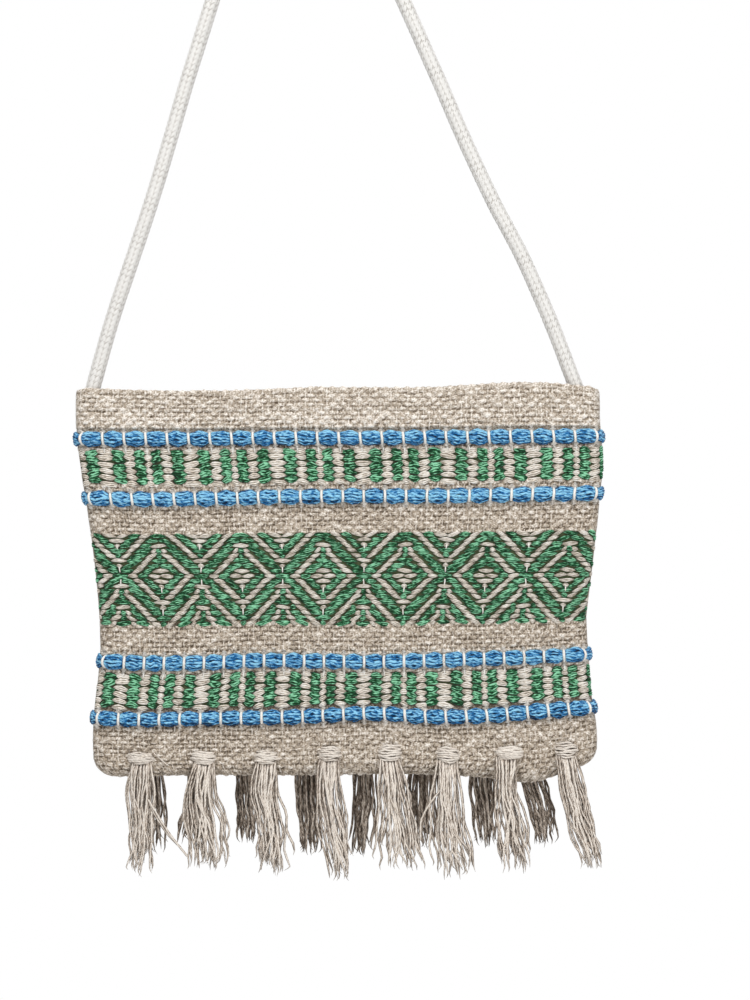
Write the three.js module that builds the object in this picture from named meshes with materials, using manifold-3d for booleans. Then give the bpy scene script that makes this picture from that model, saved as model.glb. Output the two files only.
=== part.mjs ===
// Flat handwoven shoulder bag with a rope strap and a fringe of tassels.
// Millimetres, +Z up, with the front of the bag towards -Y.
// The origin is the point under the top of the strap where a hook or a hand carries the bag.

import * as THREE from "three";
import { mergeVertices } from "three/addons/utils/BufferGeometryUtils.js";
import Module from "manifold-3d";

// Gap between pieces that touch
const clearance = 0.3;

// Strap
const strapDiameter = 8.2;
const strapSides = 8;
const strapSteps = 56;

// Bag, as it hangs: the mouth lies this far under the origin and this far to its right
const strapDrop = 300.8;
const mouthOffset = 22;
const mouthWidth = 279.6;
const bagHeight = 205.9;
const cornerRadius = 11;
const sideSteps = 7;
const cornerSteps = 3;

// The sides draw in between the mouth and the foot
const waistDepth = 134;
const leftWaistInset = 13.3;
const leftFootInset = 9.3;
const rightWaistInset = 7.7;
const rightFootInset = 2;

// Cloth
const clothThickness = 2.6;
const edgeRound = 5;
const cavityRound = 2.4;
const roundSteps = 2;
const weftPitch = 2.35;
const weftRidge = 0.45;
const hemDepth = 11.5;

// Rows of blue roving: how far down the bag each row's middle lies, as a share of its height
const rovingShares = [0.1277, 0.2793, 0.7013, 0.8446];
const rovingHeight = 8.4;
const rovingThickness = 4.6;
const tiedHeight = 6;
const tiedThickness = 3.2;
const rovingCrown = 0.28;
const tieSpacing = 11.4;
const firstTie = 2.9;

// Green bars: how far down the bag each band's middle lies, as a share of its height
const barBandShares = [0.2025, 0.7771];
const barLength = 17.4;
const barWidth = 5.6;
const barShift = 0.9;
const barRail = 0.9;
const floatThickness = 1.2;

// Green diamonds, counted in the weave's cells: the dots lie this share of the height down the bag
const diamondShare = 0.4847;
const cellHeight = 2.74;
const cellsPerTie = 4;
const tiesPerDiamond = 4;
const cellsAboveMiddle = 8.5;
const cellsBelowMiddle = 9.5;
const greenRings = [
  [1.5, 4.5],
  [6.5, 9.5],
  [11.5, 13.5],
];
const bridgeWidth = 0.9;

// Tassels: falls and leans are those of each tassel, from the left
const tasselCount = 8;
const headHeightAboveFoot = 12.3;
const headWidth = 13.4;
const headHeight = 7.4;
const headThickness = 5;
const crownWidth = 8;
const crownThickness = 2.5;
const neckWidth = 10.5;
const neckThickness = 3;
const skirtWidth = 14.8;
const skirtThickness = 7;
const tipWidth = 16.4;
const tipThickness = 5.6;
const tasselFlutes = 5;
const fluteDepth = 0.14;
const frontTassels = {
  margin: 25.2,
  falls: [61, 61, 63, 66, 60, 64, 64, 62],
  leans: [0, 3, 4, 6, 5, 5, 4, 14],
};
const backTassels = {
  margin: 22,
  falls: [47, 47, 46, 51, 51, 48, 48, 47],
  leans: [0, -2, 0, 1, 0, 2, 3, 6],
};

// The middle line of the strap as [x, z]: it starts inside the left corner of the mouth,
// runs over the hook and ends inside the right corner.
const strapRoute = [
  [-107.2, -327],
  [-108.2, -319],
  [-109.1, -311],
  [-109.2, -304],
  [-108.2, -298.7],
  [-98.6, -264.6],
  [-88, -232.7],
  [-77.4, -200.8],
  [-67.8, -168.9],
  [-58.5, -136.9],
  [-45.2, -94.4],
  [-31.7, -50],
  [-19.1, -9.95],
  [-13.6, -1.2],
  [-7.4, 2.7],
  [0, 4.15],
  [7.4, 2.7],
  [13.6, -1.2],
  [18.2, -7.6],
  [37.2, -50],
  [57.2, -94.4],
  [76.1, -136.9],
  [89.9, -168.9],
  [104.8, -200.8],
  [113.2, -216.6],
  [121.4, -232.7],
  [135.4, -264.6],
  [147.7, -296.5],
  [149.6, -301.5],
  [150.9, -308],
  [151.4, -316],
  [151.2, -327],
];

// The strap's ends lie between the two panels, so the strap sets how far apart they stand
const cavityHalf = strapDiameter / 2 + clearance;
const clothHalf = cavityHalf + clothThickness;
const patternFace = clothHalf + clearance;
const tasselFace = clothHalf + weftRidge + clearance;
const mouthLeft = mouthOffset - mouthWidth / 2;
const mouthRight = mouthOffset + mouthWidth / 2;

// The pattern's places as depths under the mouth, so that it keeps clear of the foot and the tassels
const rovingDepths = rovingShares.map((share) => share * bagHeight);
const barBandDepths = barBandShares.map((share) => share * bagHeight);
const diamondDepth = diamondShare * bagHeight;

const wasm = await Module();
wasm.setup();

function solidOf(geometry) {
  const bare = new THREE.BufferGeometry();
  bare.setAttribute("position", geometry.getAttribute("position"));
  if (geometry.index) bare.setIndex(geometry.index);
  const merged = mergeVertices(bare, 1e-4);
  return new wasm.Manifold(
    new wasm.Mesh({
      numProp: 3,
      vertProperties: new Float32Array(merged.attributes.position.array),
      triVerts: new Uint32Array(merged.index.array),
    }),
  );
}

function geometryOf(solid) {
  const mesh = solid.getMesh();
  const geometry = new THREE.BufferGeometry();
  geometry.setAttribute("position", new THREE.BufferAttribute(mesh.vertProperties, 3));
  geometry.setIndex(new THREE.BufferAttribute(mesh.triVerts, 1));
  geometry.computeVertexNormals();
  return geometry;
}

function join(solids) {
  return solids.reduce((all, next) => all.add(next));
}

function boxSolid(x0, x1, y0, y1, z0, z1) {
  const box = new THREE.BoxGeometry(x1 - x0, y1 - y0, z1 - z0);
  box.translate((x0 + x1) / 2, (y0 + y1) / 2, (z0 + z1) / 2);
  return solidOf(box);
}

// A shape drawn in x and z becomes a plate whose back lies `back` in front of the bag's middle plane.
function plateSolid(shape, back, thickness) {
  const plate = new THREE.ExtrudeGeometry(shape, { depth: thickness, bevelEnabled: false });
  plate.rotateX(Math.PI / 2);
  plate.translate(0, -back, 0);
  return solidOf(plate);
}

function easeBetween(from, to, share) {
  return from + ((to - from) * (1 - Math.cos(Math.PI * share))) / 2;
}

// How far a side has drawn in at a depth under the mouth: a half cosine to the waist, another to the foot
function sideInset(depth, waistInset, footInset) {
  if (depth <= 0) return 0;
  if (depth < waistDepth) return easeBetween(0, waistInset, depth / waistDepth);
  const below = (depth - waistDepth) / (bagHeight - waistDepth);
  return easeBetween(waistInset, footInset, Math.min(below, 1));
}

function leftEdge(depth) {
  return mouthLeft + sideInset(depth, leftWaistInset, leftFootInset);
}

function rightEdge(depth) {
  return mouthRight - sideInset(depth, rightWaistInset, rightFootInset);
}

// Ties stand at equal steps between the side edges, so they draw closer where the bag is narrower.
const tieCount = Math.round((mouthWidth - 2 * firstTie) / tieSpacing) + 1;

function tieStep(depth) {
  return (rightEdge(depth) - leftEdge(depth) - 2 * firstTie) / (tieCount - 1);
}

function tieX(number, depth) {
  return leftEdge(depth) + firstTie + (number - 1) * tieStep(depth);
}

// Outline of the bag in x and z, closed `above` the mouth
function bagOutline(above) {
  const foot = -strapDrop - bagHeight;
  const shape = new THREE.Shape();
  const straight = bagHeight - cornerRadius;
  shape.moveTo(mouthLeft, above - strapDrop);
  for (let i = 0; i <= sideSteps; i++) {
    const depth = (straight * i) / sideSteps;
    shape.lineTo(leftEdge(depth), -strapDrop - depth);
  }
  const left = leftEdge(straight);
  const right = rightEdge(straight);
  for (let i = 1; i <= cornerSteps; i++) {
    const angle = (Math.PI / 2) * (i / cornerSteps);
    const x = left + cornerRadius * (1 - Math.cos(angle));
    shape.lineTo(x, foot + cornerRadius * (1 - Math.sin(angle)));
  }
  for (let i = cornerSteps; i >= 1; i--) {
    const angle = (Math.PI / 2) * (i / cornerSteps);
    const x = right - cornerRadius * (1 - Math.cos(angle));
    shape.lineTo(x, foot + cornerRadius * (1 - Math.sin(angle)));
  }
  for (let i = sideSteps; i >= 0; i--) {
    const depth = (straight * i) / sideSteps;
    shape.lineTo(rightEdge(depth), -strapDrop - depth);
  }
  shape.lineTo(mouthRight, above - strapDrop);
  return shape;
}

// A pillow of the bag's outline: `inset` inside it, `half` thick to each side, its edges rounded by `round`
function pillowSolid(above, inset, half, round) {
  const pillow = new THREE.ExtrudeGeometry(bagOutline(above), {
    depth: 2 * (half - round),
    bevelThickness: round,
    bevelSize: round,
    bevelOffset: -inset - round,
    bevelSegments: roundSteps,
  });
  pillow.rotateX(Math.PI / 2);
  pillow.translate(0, half - round, 0);
  return solidOf(pillow);
}

// Rows of weft as a band of teeth along x, proud of the cloth's face
function weftRidges(fromDepth, toDepth) {
  const rows = Math.max(1, Math.floor((toDepth - fromDepth) / weftPitch));
  const sunk = clothThickness / 4;
  const middle = (fromDepth + toDepth) / 2;
  const x0 = Math.max(leftEdge(fromDepth), leftEdge(toDepth), leftEdge(middle)) + edgeRound;
  const x1 = Math.min(rightEdge(fromDepth), rightEdge(toDepth), rightEdge(middle)) - edgeRound;
  const profile = new THREE.Shape();
  profile.moveTo(0, -sunk);
  for (let i = 0; i < rows; i++) {
    profile.lineTo(-i * weftPitch, 0);
    profile.lineTo(-(i + 0.5) * weftPitch, weftRidge);
  }
  profile.lineTo(-rows * weftPitch, 0);
  profile.lineTo(-rows * weftPitch, -sunk);
  const ridges = new THREE.ExtrudeGeometry(profile, { depth: x1 - x0, bevelEnabled: false });
  // The profile's x is the height and its y stands out from the cloth.
  const place = new THREE.Matrix4();
  place.set(0, 0, 1, x0, 0, -1, 0, -clothHalf, 1, 0, 0, -strapDrop - fromDepth, 0, 0, 0, 1);
  ridges.applyMatrix4(place);
  return solidOf(ridges);
}

// One woven panel: its half of the hollow pillow, open at the mouth, with ridges in the plain bands
function frontPanel(ridges) {
  // The tools that cut the pillow reach this far beyond it.
  const far = 4 * clothHalf;
  const wide = mouthWidth + 2 * far;
  const outer = pillowSolid(far, 0, clothHalf, edgeRound);
  const inner = pillowSolid(2 * far, clothThickness, cavityHalf, cavityRound);
  const x0 = mouthOffset - wide / 2;
  const x1 = mouthOffset + wide / 2;
  const foot = -strapDrop - bagHeight;
  const aboveMouth = boxSolid(x0, x1, -far, far, -strapDrop, 3 * far - strapDrop);
  const behind = boxSolid(x0, x1, -clearance / 2, far, foot - far, far - strapDrop);
  return join([outer.subtract(inner), ...ridges]).subtract(aboveMouth).subtract(behind);
}

// A closed surface through rings of as many points each, with flat ends
function loftGeometry(rings) {
  const sides = rings[0].length;
  const positions = rings.flat().flat();
  const faces = [];
  for (let r = 0; r + 1 < rings.length; r++) {
    for (let s = 0; s < sides; s++) {
      const a = r * sides + s;
      const b = r * sides + ((s + 1) % sides);
      faces.push(a, b, b + sides, a, b + sides, a + sides);
    }
  }
  const last = (rings.length - 1) * sides;
  for (let s = 1; s + 1 < sides; s++) {
    faces.push(0, s + 1, s);
    faces.push(last, last + s, last + s + 1);
  }
  const geometry = new THREE.BufferGeometry();
  geometry.setAttribute("position", new THREE.Float32BufferAttribute(positions, 3));
  geometry.setIndex(faces);
  return geometry;
}

// Section of the roving at x: widest against the cloth and narrower at its crown
function rovingRing(x, z, height, thickness) {
  const back = -patternFace;
  return [
    [x, back, z - height / 2],
    [x, back, z + height / 2],
    [x, back - thickness, z + rovingCrown * height],
    [x, back - thickness, z - rovingCrown * height],
  ];
}

// A row of roving, drawn in at each tie and full between them
function rovingSolid(depth) {
  const z = -strapDrop - depth;
  const full = (x) => rovingRing(x, z, rovingHeight, rovingThickness);
  const tied = (x) => rovingRing(x, z, tiedHeight, tiedThickness);
  const rings = [full(leftEdge(depth))];
  for (let k = 1; k <= tieCount; k++) {
    rings.push(tied(tieX(k, depth)));
    if (k < tieCount) rings.push(full(tieX(k + 0.5, depth)));
  }
  rings.push(full(rightEdge(depth)));
  return solidOf(loftGeometry(rings));
}

// A band of upright green bars, one between each two ties, joined along both ends by a thin rail
function barBandSolid(depth) {
  const z = -strapDrop - depth;
  const top = z + barLength / 2;
  const foot = z - barLength / 2;
  const front = -patternFace - floatThickness;
  const bar = (middle) =>
    boxSolid(middle - barWidth / 2, middle + barWidth / 2, front, -patternFace, foot, top);
  const rail = (from) =>
    boxSolid(tieX(1, depth), tieX(tieCount, depth), front, -patternFace, from, from + barRail);
  const pieces = [rail(foot), rail(top - barRail)];
  for (let k = 1; k < tieCount; k++) {
    const towardsDot = k % tiesPerDiamond < tiesPerDiamond / 2 ? -barShift : barShift;
    pieces.push(bar(tieX(k + 0.5, depth) + towardsDot));
  }
  return join(pieces);
}

function diamondPath(path, x, z, halfWidth, halfHeight) {
  path.moveTo(x - halfWidth, z);
  path.lineTo(x, z - halfHeight);
  path.lineTo(x + halfWidth, z);
  path.lineTo(x, z + halfHeight);
  return path;
}

// The band of green diamonds: two rings about each dot, and a chevron over and under each crossing,
// with thin bridges where the green weft passes behind the ground
function diamondBandSolid() {
  const z = -strapDrop - diamondDepth;
  const cellWidth = tieStep(diamondDepth) / cellsPerTie;
  const halfRepeat = (cellsPerTie * tiesPerDiamond) / 2;
  const back = patternFace;
  const front = patternFace + floatThickness;
  const top = z + cellsAboveMiddle * cellHeight;
  const foot = z - cellsBelowMiddle * cellHeight;
  const [dotRing, latticeRing, chevron] = greenRings;
  const pieces = [];
  const ring = (x, [inner, outer]) => {
    const shape = diamondPath(new THREE.Shape(), x, z, outer * cellWidth, outer * cellHeight);
    const hole = new THREE.Path();
    shape.holes.push(diamondPath(hole, x, z, inner * cellWidth, inner * cellHeight));
    pieces.push(plateSolid(shape, back, floatThickness));
  };
  const bridge = (x, fromCells, toCells) => {
    const ends = [z + fromCells * cellHeight, z + toCells * cellHeight];
    const lowest = Math.min(...ends) - bridgeWidth / 2;
    const highest = Math.max(...ends) + bridgeWidth / 2;
    const x0 = x - bridgeWidth / 2;
    pieces.push(boxSolid(x0, x0 + bridgeWidth, -front, -back, lowest, highest));
  };
  const arms = (x, way, reach) => {
    const corner = (d) => [(reach - (d - halfRepeat)) * cellWidth, z + way * reach * cellHeight];
    const [innerX, edge] = corner(chevron[0]);
    const [outerX] = corner(chevron[1]);
    const shape = new THREE.Shape();
    shape.moveTo(x - innerX, edge);
    shape.lineTo(x, z + way * (chevron[0] - halfRepeat) * cellHeight);
    shape.lineTo(x + innerX, edge);
    shape.lineTo(x + outerX, edge);
    shape.lineTo(x, z + way * (chevron[1] - halfRepeat) * cellHeight);
    shape.lineTo(x - outerX, edge);
    pieces.push(plateSolid(shape, back, floatThickness));
    bridge(x, way * (latticeRing[1] - halfRepeat), way * (chevron[0] - halfRepeat));
  };
  for (let k = 0; k <= tieCount; k += tiesPerDiamond) {
    const x = tieX(k, diamondDepth);
    ring(x, dotRing);
    ring(x, latticeRing);
    bridge(x, dotRing[1], latticeRing[0]);
    const crossing = x + halfRepeat * cellWidth;
    arms(crossing, 1, cellsAboveMiddle);
    arms(crossing, -1, cellsBelowMiddle);
  }
  const x0 = tieX(1, diamondDepth);
  const x1 = tieX(tieCount, diamondDepth);
  // The green weft turns back at the two side edges.
  for (const x of [x0, x1 - bridgeWidth]) {
    pieces.push(boxSolid(x, x + bridgeWidth, -front, -back, foot, top));
  }
  return join(pieces).intersect(boxSolid(x0, x1, -2 * front, 0, foot, top));
}

// Section of a tassel, fluted all round, with its back against the cloth
function tasselRing(x, z, width, thickness, flute) {
  const ring = [];
  const points = 2 * tasselFlutes;
  for (let i = 0; i < points; i++) {
    const angle = (2 * Math.PI * i) / points;
    const reach = i % 2 ? 1 - flute : 1;
    const across = (width / 2) * reach * Math.cos(angle);
    const out = (thickness / 2) * (1 + reach * Math.sin(angle));
    ring.push([x + across, -tasselFace - out, z]);
  }
  return ring;
}

// A tassel: the looped head lies across the cloth and the skirt falls from under it.
function tasselSolid(x, fall, lean) {
  const z = headHeightAboveFoot - strapDrop - bagHeight;
  const under = z - headHeight / 2;
  const middle = (z - fall + under) / 2;
  const rings = [
    tasselRing(x, z + headHeight / 2, crownWidth, crownThickness, 0),
    tasselRing(x, z, headWidth, headThickness, 0),
    tasselRing(x, under, neckWidth, neckThickness, 0),
    tasselRing(x + lean / 2, middle, skirtWidth, skirtThickness, fluteDepth),
    tasselRing(x + lean, z - fall, tipWidth, tipThickness, fluteDepth),
  ];
  return solidOf(loftGeometry(rings));
}

// Places along the foot of the bag, in equal steps between a margin at each side
function tasselX(index, margin) {
  const x0 = leftEdge(bagHeight) + margin;
  const x1 = rightEdge(bagHeight) - margin;
  return x0 + ((x1 - x0) * index) / (tasselCount - 1);
}

function strapGeometry() {
  const points = strapRoute.map(([x, z]) => new THREE.Vector3(x, 0, z));
  const section = new THREE.Shape();
  for (let i = 0; i < strapSides; i++) {
    const angle = (2 * Math.PI * i) / strapSides;
    const corner = [(strapDiameter / 2) * Math.cos(angle), (strapDiameter / 2) * Math.sin(angle)];
    if (i) section.lineTo(...corner);
    else section.moveTo(...corner);
  }
  return new THREE.ExtrudeGeometry(section, {
    steps: strapSteps,
    bevelEnabled: false,
    extrudePath: new THREE.CatmullRomCurve3(points, false, "centripetal"),
  });
}

const cottonCloth = new THREE.MeshStandardMaterial({ color: 0xb8a999, roughness: 0.95, metalness: 0 });
const blueRoving = new THREE.MeshStandardMaterial({ color: 0x4b84a9, roughness: 0.9, metalness: 0 });
const greenWeft = new THREE.MeshStandardMaterial({ color: 0x356345, roughness: 0.95, metalness: 0 });
const tasselYarn = new THREE.MeshStandardMaterial({ color: 0xbdaea4, roughness: 0.95, metalness: 0 });
const strapRope = new THREE.MeshStandardMaterial({ color: 0xeeece9, roughness: 0.9, metalness: 0 });

const bag = new THREE.Group();

function addPiece(name, geometry, material) {
  const mesh = new THREE.Mesh(geometry, material);
  mesh.name = name;
  bag.add(mesh);
}

// A piece made for the front, and its mirror image for the back
function addBothSides(name, number, solid, material) {
  addPiece(`${name}_front${number}`, geometryOf(solid), material);
  const back = solid.mirror([0, 1, 0]);
  addPiece(`${name}_back${number}`, geometryOf(back), material);
}

// Plain bands of the cloth, as depths under the mouth, between the rows of roving and the patterns
const halfRoving = rovingHeight / 2;
const halfBars = barLength / 2;
const plainBands = [
  [0, hemDepth],
  [hemDepth + weftPitch / 2, rovingDepths[0] - halfRoving],
  [rovingDepths[1] + halfRoving, diamondDepth - cellsAboveMiddle * cellHeight],
  [diamondDepth + cellsBelowMiddle * cellHeight, rovingDepths[2] - halfRoving],
  [rovingDepths[3] + halfRoving, bagHeight - edgeRound],
];
const panel = frontPanel(plainBands.map(([from, to]) => weftRidges(from, to)));
addPiece("front_panel", geometryOf(panel), cottonCloth);
addPiece("back_panel", geometryOf(panel.mirror([0, 1, 0])), cottonCloth);

rovingDepths.forEach((depth, i) => addBothSides("blue_roving", `_${i + 1}`, rovingSolid(depth), blueRoving));
barBandDepths.forEach((depth, i) => addBothSides("green_bars", `_${i + 1}`, barBandSolid(depth), greenWeft));
addBothSides("green_diamonds", "", diamondBandSolid(), greenWeft);

for (let i = 0; i < tasselCount; i++) {
  const frontX = tasselX(i, frontTassels.margin);
  const backX = tasselX(i, backTassels.margin);
  const front = tasselSolid(frontX, frontTassels.falls[i], frontTassels.leans[i]);
  const back = tasselSolid(backX, backTassels.falls[i], backTassels.leans[i]).mirror([0, 1, 0]);
  addPiece(`tassel_front_${i + 1}`, geometryOf(front), tasselYarn);
  addPiece(`tassel_back_${i + 1}`, geometryOf(back), tasselYarn);
}

addPiece("strap", strapGeometry(), strapRope);

export default bag;
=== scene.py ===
"""Looks of a flat handwoven shoulder bag: cotton cloth, blue roving rows, green bars and diamonds,
a tassel fringe and a braided rope strap. Metres, +Z up, with the front of the bag towards -Y."""

import math
from functools import partial

import bpy
import numpy as np
from bpy.props import FloatProperty, FloatVectorProperty, IntProperty, PointerProperty
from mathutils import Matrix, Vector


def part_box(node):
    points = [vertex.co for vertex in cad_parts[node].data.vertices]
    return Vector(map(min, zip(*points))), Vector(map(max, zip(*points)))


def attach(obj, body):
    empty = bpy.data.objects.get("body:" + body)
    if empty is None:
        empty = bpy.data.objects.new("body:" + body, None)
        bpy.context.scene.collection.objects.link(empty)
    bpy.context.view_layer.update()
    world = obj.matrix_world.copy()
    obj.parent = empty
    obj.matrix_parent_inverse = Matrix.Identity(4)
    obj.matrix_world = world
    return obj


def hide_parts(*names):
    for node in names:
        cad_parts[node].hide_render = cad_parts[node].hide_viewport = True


bl_info = {
    "name": "Flat Woven Shoulder Bag",
    "version": (1, 0, 0),
    "blender": (4, 5, 0),
    "location": "3D View > Sidebar > Bag",
    "description": "Builds the cloth, rovings, pattern wefts, tassels and rope strap of a flat handwoven bag",
    "category": "Object",
}

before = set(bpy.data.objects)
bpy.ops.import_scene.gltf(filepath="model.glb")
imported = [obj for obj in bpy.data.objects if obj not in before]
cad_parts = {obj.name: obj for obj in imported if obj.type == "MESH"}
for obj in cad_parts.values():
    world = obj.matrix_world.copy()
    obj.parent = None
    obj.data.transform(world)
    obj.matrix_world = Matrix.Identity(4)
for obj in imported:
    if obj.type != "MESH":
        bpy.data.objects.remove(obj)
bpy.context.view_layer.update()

MM = 0.001
SIDES = (("front", -1), ("back", 1))

# The woven panel of the frame gives the bag's place and size.
panel_low, panel_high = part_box("front_panel")
MOUTH_LEFT = panel_low.x
MOUTH_RIGHT = panel_high.x
MOUTH_Z = panel_high.z
BAG_DEPTH = panel_high.z - panel_low.z

# Cloth shell: half the bag's thickness, the seam's half gap, how the edges round off, the lower corners
CLOTH_HALF = 7.0 * MM
SEAM_GAP = 0.06 * MM
SIDE_ROUND = 9 * MM
FOOT_ROUND = 8 * MM
CORNER_RADIUS = 11 * MM
INNER_SHARE = 0.63
WAVE_HEIGHT = 0.8 * MM
UNEVENNESS = 0.25 * MM

# Weave: ties count from 1 to 25 across the bag, four warps stand to a tie, picks are the rows of weft.
FIRST_TIE = 0.746
LAST_TIE = 25.254
WARPS_PER_TIE = 4
PICK = 2.35 * MM
TIES = np.arange(1, 26)

# Points of the panels: places over a warp, counted in warps, and rows over the rim and down inside
WARP_POINTS = np.array([-0.22, 0.0, 0.22, 0.5])
ROWS_PER_PICK = 4
RIM_ROWS = 6
INNER_ROWS = 14
INNER_END = 6 * MM

# How far each side has drawn in, in millimetres, at even steps from the mouth to the foot
LEFT_INSET = np.array([0.2, 0.1, 2.4, 5.8, 8.6, 10.9, 12.7, 12.9, 10.2, 9.1, 9.8]) * MM
RIGHT_INSET = np.array([0.4, -0.2, -1.6, 0.3, 2.4, 4.8, 7.2, 6.2, 4.8, 1.8, 1.7]) * MM

# How far the cloth hangs below its flat place, in millimetres: a line across the bag for each level
SAG_LEVELS = np.array([0, 26.3, 57.5, 99.8, 144.4, 173.9, 205.9]) * MM
SAG_STATIONS = np.array([0, 0.104, 0.219, 0.333, 0.447, 0.561, 0.675, 0.79, 0.895, 1])
SAG = MM * np.array([
    [0.5, 1.4, 2.1, 1.7, 0.2, 0.3, 0.2, -2.0, -2.3, 0.4],
    [0.9, 0.8, 0.7, 0.5, 0.3, 0.3, 0.0, -0.2, -0.5, -0.8],
    [1.1, 1.8, 1.5, 0.8, 0.2, 0.0, 0.0, -0.5, -1.1, -1.6],
    [0.0, 0.3, 0.3, 0.2, 0.2, 0.0, 0.0, 0.0, -0.3, -0.6],
    [0.9, 2.0, 1.7, 0.5, 0.9, 1.2, 0.5, -0.5, -1.3, -2.9],
    [1.6, 2.6, 1.9, 1.5, 0.5, -0.8, 1.0, 0.3, -2.1, -4.2],
    [1.2, 0.8, 0.3, 0.6, 0.2, 0.0, 0.0, 1.5, 4.0, -4.0],
])

# Depths under the mouth, what the hem adds, and how much lighter the cloth is in its topmost band
HEM_DEPTH = 11.5 * MM
HEM_RISE = 0.3 * MM
HEM_CREASE = 0.35 * MM
TOP_BAND_END = 23 * MM
TOP_BAND_LIGHT = 0.58
ROVING_DEPTHS = np.array([26.3, 57.5, 144.4, 173.9]) * MM
TIE_HALF_HEIGHT = 2.9 * MM
BAR_BAND_DEPTHS = np.array([41.7, 160.0]) * MM
DIAMOND_DEPTH = 99.8 * MM

# Bare ground under rovings and pattern: its height, its relief as painted shade, and how far from a roving's
# middle it counts
# Painted shade: the ground near a roving is darker, and under the pattern it takes the dark ground colour.
BAND_GROUND = -0.6 * MM
ROVING_GROUND_PAINTED_SHADE = 0.3
PATTERN_GROUND_PAINTED_SHADE = -0.6
ROVING_REACH = 7 * MM

# Where the plain weave shows, as depths from and to
PLAIN_BANDS = np.array([[-9, 22], [30.5, 33], [50, 53.5], [61.5, 77], [125.5, 140.4], [148.4, 151.4],
                        [168.2, 169.9], [177.9, 210]]) * MM

# Roving: painted shade of its strands from the lowest to the topmost, as the share of their relief that
# each keeps, and its rings within a step of the ties and near a side edge
STRAND_PAINTED_SHADE = (0.5, 0.65, 0.85, 1.0, 1.0, 1.05, 1.0)
ROVING_STRANDS = len(STRAND_PAINTED_SHADE)
STEP_RINGS = np.array([-0.17, -0.06, 0.06, 0.17, 0.34, 0.5, 0.66])
EDGE_RINGS = np.array([0.0, 0.03, 0.09])

# Columns of the bar bands within a repeat of four ties, as middle and width in ties from the dot column
GREEN_BARS = [(0.38, 0.51), (1.384, 0.60), (2.616, 0.60), (3.62, 0.51)]
BEIGE_BARS = [(0.0, 0.36), (0.86, 0.53), (2.0, 0.74), (3.14, 0.53)]
GREEN_BAR_ROWS = np.array([-7.9, -4.5, -0.7, 2.7, 6.2]) * MM
BEIGE_BAR_ROWS = np.array([-8.5, -5.7, -2.1, 1.2, 4.4, 7.9]) * MM

# Floats of a pattern: half height and how full their ends are, and for the diamonds their lean too
GREEN_BAR_FLOAT = (2.1 * MM, 2.3)
BEIGE_BAR_FLOAT = (1.75 * MM, 1.8)
GREEN_DIAMOND_FLOAT = (1.45 * MM, 2.0, 0.2)
BEIGE_DIAMOND_FLOAT = (1.2 * MM, 1.7, 0.34)

# Rings of a float from end to end, and its section: across, up, and the grooves between its three crowns
FLOAT_RINGS = np.array([-0.88, -0.5, 0.0, 0.5, 0.88])
SECTION_ACROSS = np.array([-0.98, -0.66, -0.33, 0.0, 0.33, 0.66, 0.98, 0.45, -0.45])
SECTION_CROWNS = np.array([0.1, 0.95, 0.0, 1.0, 0.0, 0.95, 0.1, -0.35, -0.35])
SECTION_GROOVES = np.array([0, 0, 1, 0, 1, 0, 0, 0, 0])

# Diamonds, in cells of the weave counted from the dot
DIAMOND_ROWS = range(-8, 10)
CELL_HEIGHT = 2.74 * MM
BEIGE_RINGS = (0, 1, 2, 5, 6, 10, 11, 14, 15)

# Points of the diamonds that have a colour of their own, as row and distance from the dot's column
CAPS_BEIGE = ((-6, 0), (-6, 1), (2, 8), (2, 7), (6, 8), (6, 7))
CAPS_GREEN = ((-5, 0), (3, 8), (7, 8))

# Stretches of warp that show at the diamonds' points and over the bars: ties, then depth and height
# in millimetres
DOT_TIES = 4.0 * np.arange(1, 7)
CROSSING_TIES = 4.0 * np.arange(6) + 2
TICK_ROWS = [(DOT_TIES, 107.0, 3.0), (DOT_TIES, 118.5, 3.0), (CROSSING_TIES, 84.3, 2.6),
             (CROSSING_TIES, 96.4, 2.6), (CROSSING_TIES, 103.2, 3.0), (DOT_TIES, 33.2, 3.4),
             (DOT_TIES, 151.4, 3.4), (TIES[1:-1] + 0.02, 32.4, 2.4), (TIES[1:-1] + 0.02, 150.8, 2.4)]
TICK_RADIUS = 0.38 * MM

# Tassels, in millimetres: across, depth of the head, head width, head height, fall, and then the skirt's
# left and right edge from the head's middle, at the neck, at one and two thirds of the way, and at the tips
FRONT_TASSELS = [
    [-83.2, 196.8, 14.2, 6.8, 60, -4.2, 6.7, -8.7, 8.8, -5.5, 6.3, -5.9, 5.9],
    [-49.5, 196.6, 13.8, 7.4, 57, -5.0, 6.4, -9.9, 8.0, -9.0, 12.5, -5.3, 11.7],
    [-16.2, 196.1, 12.5, 7.9, 60, -5.3, 5.7, -8.1, 7.7, -4.9, 12.0, -5.3, 14.1],
    [17.8, 194.4, 12.6, 8.2, 65, -5.6, 5.0, -7.2, 7.2, -4.8, 9.9, 0.5, 11.0],
    [49.6, 193.9, 12.9, 9.2, 60, -5.2, 5.7, -6.0, 10.9, -5.7, 13.8, -7.3, 17.0],
    [80.6, 195.0, 12.3, 8.9, 63, -6.0, 5.6, -9.0, 8.2, -9.6, 10.4, -7.4, 13.0],
    [113.6, 193.9, 15.2, 7.2, 61, -7.6, 3.6, -7.5, 4.0, -7.4, 9.0, -4.3, 11.7],
    [143.3, 192.3, 12.2, 9.0, 61, -5.2, 5.9, -3.8, 11.2, 0.7, 14.7, 9.0, 19.5],
]
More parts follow.
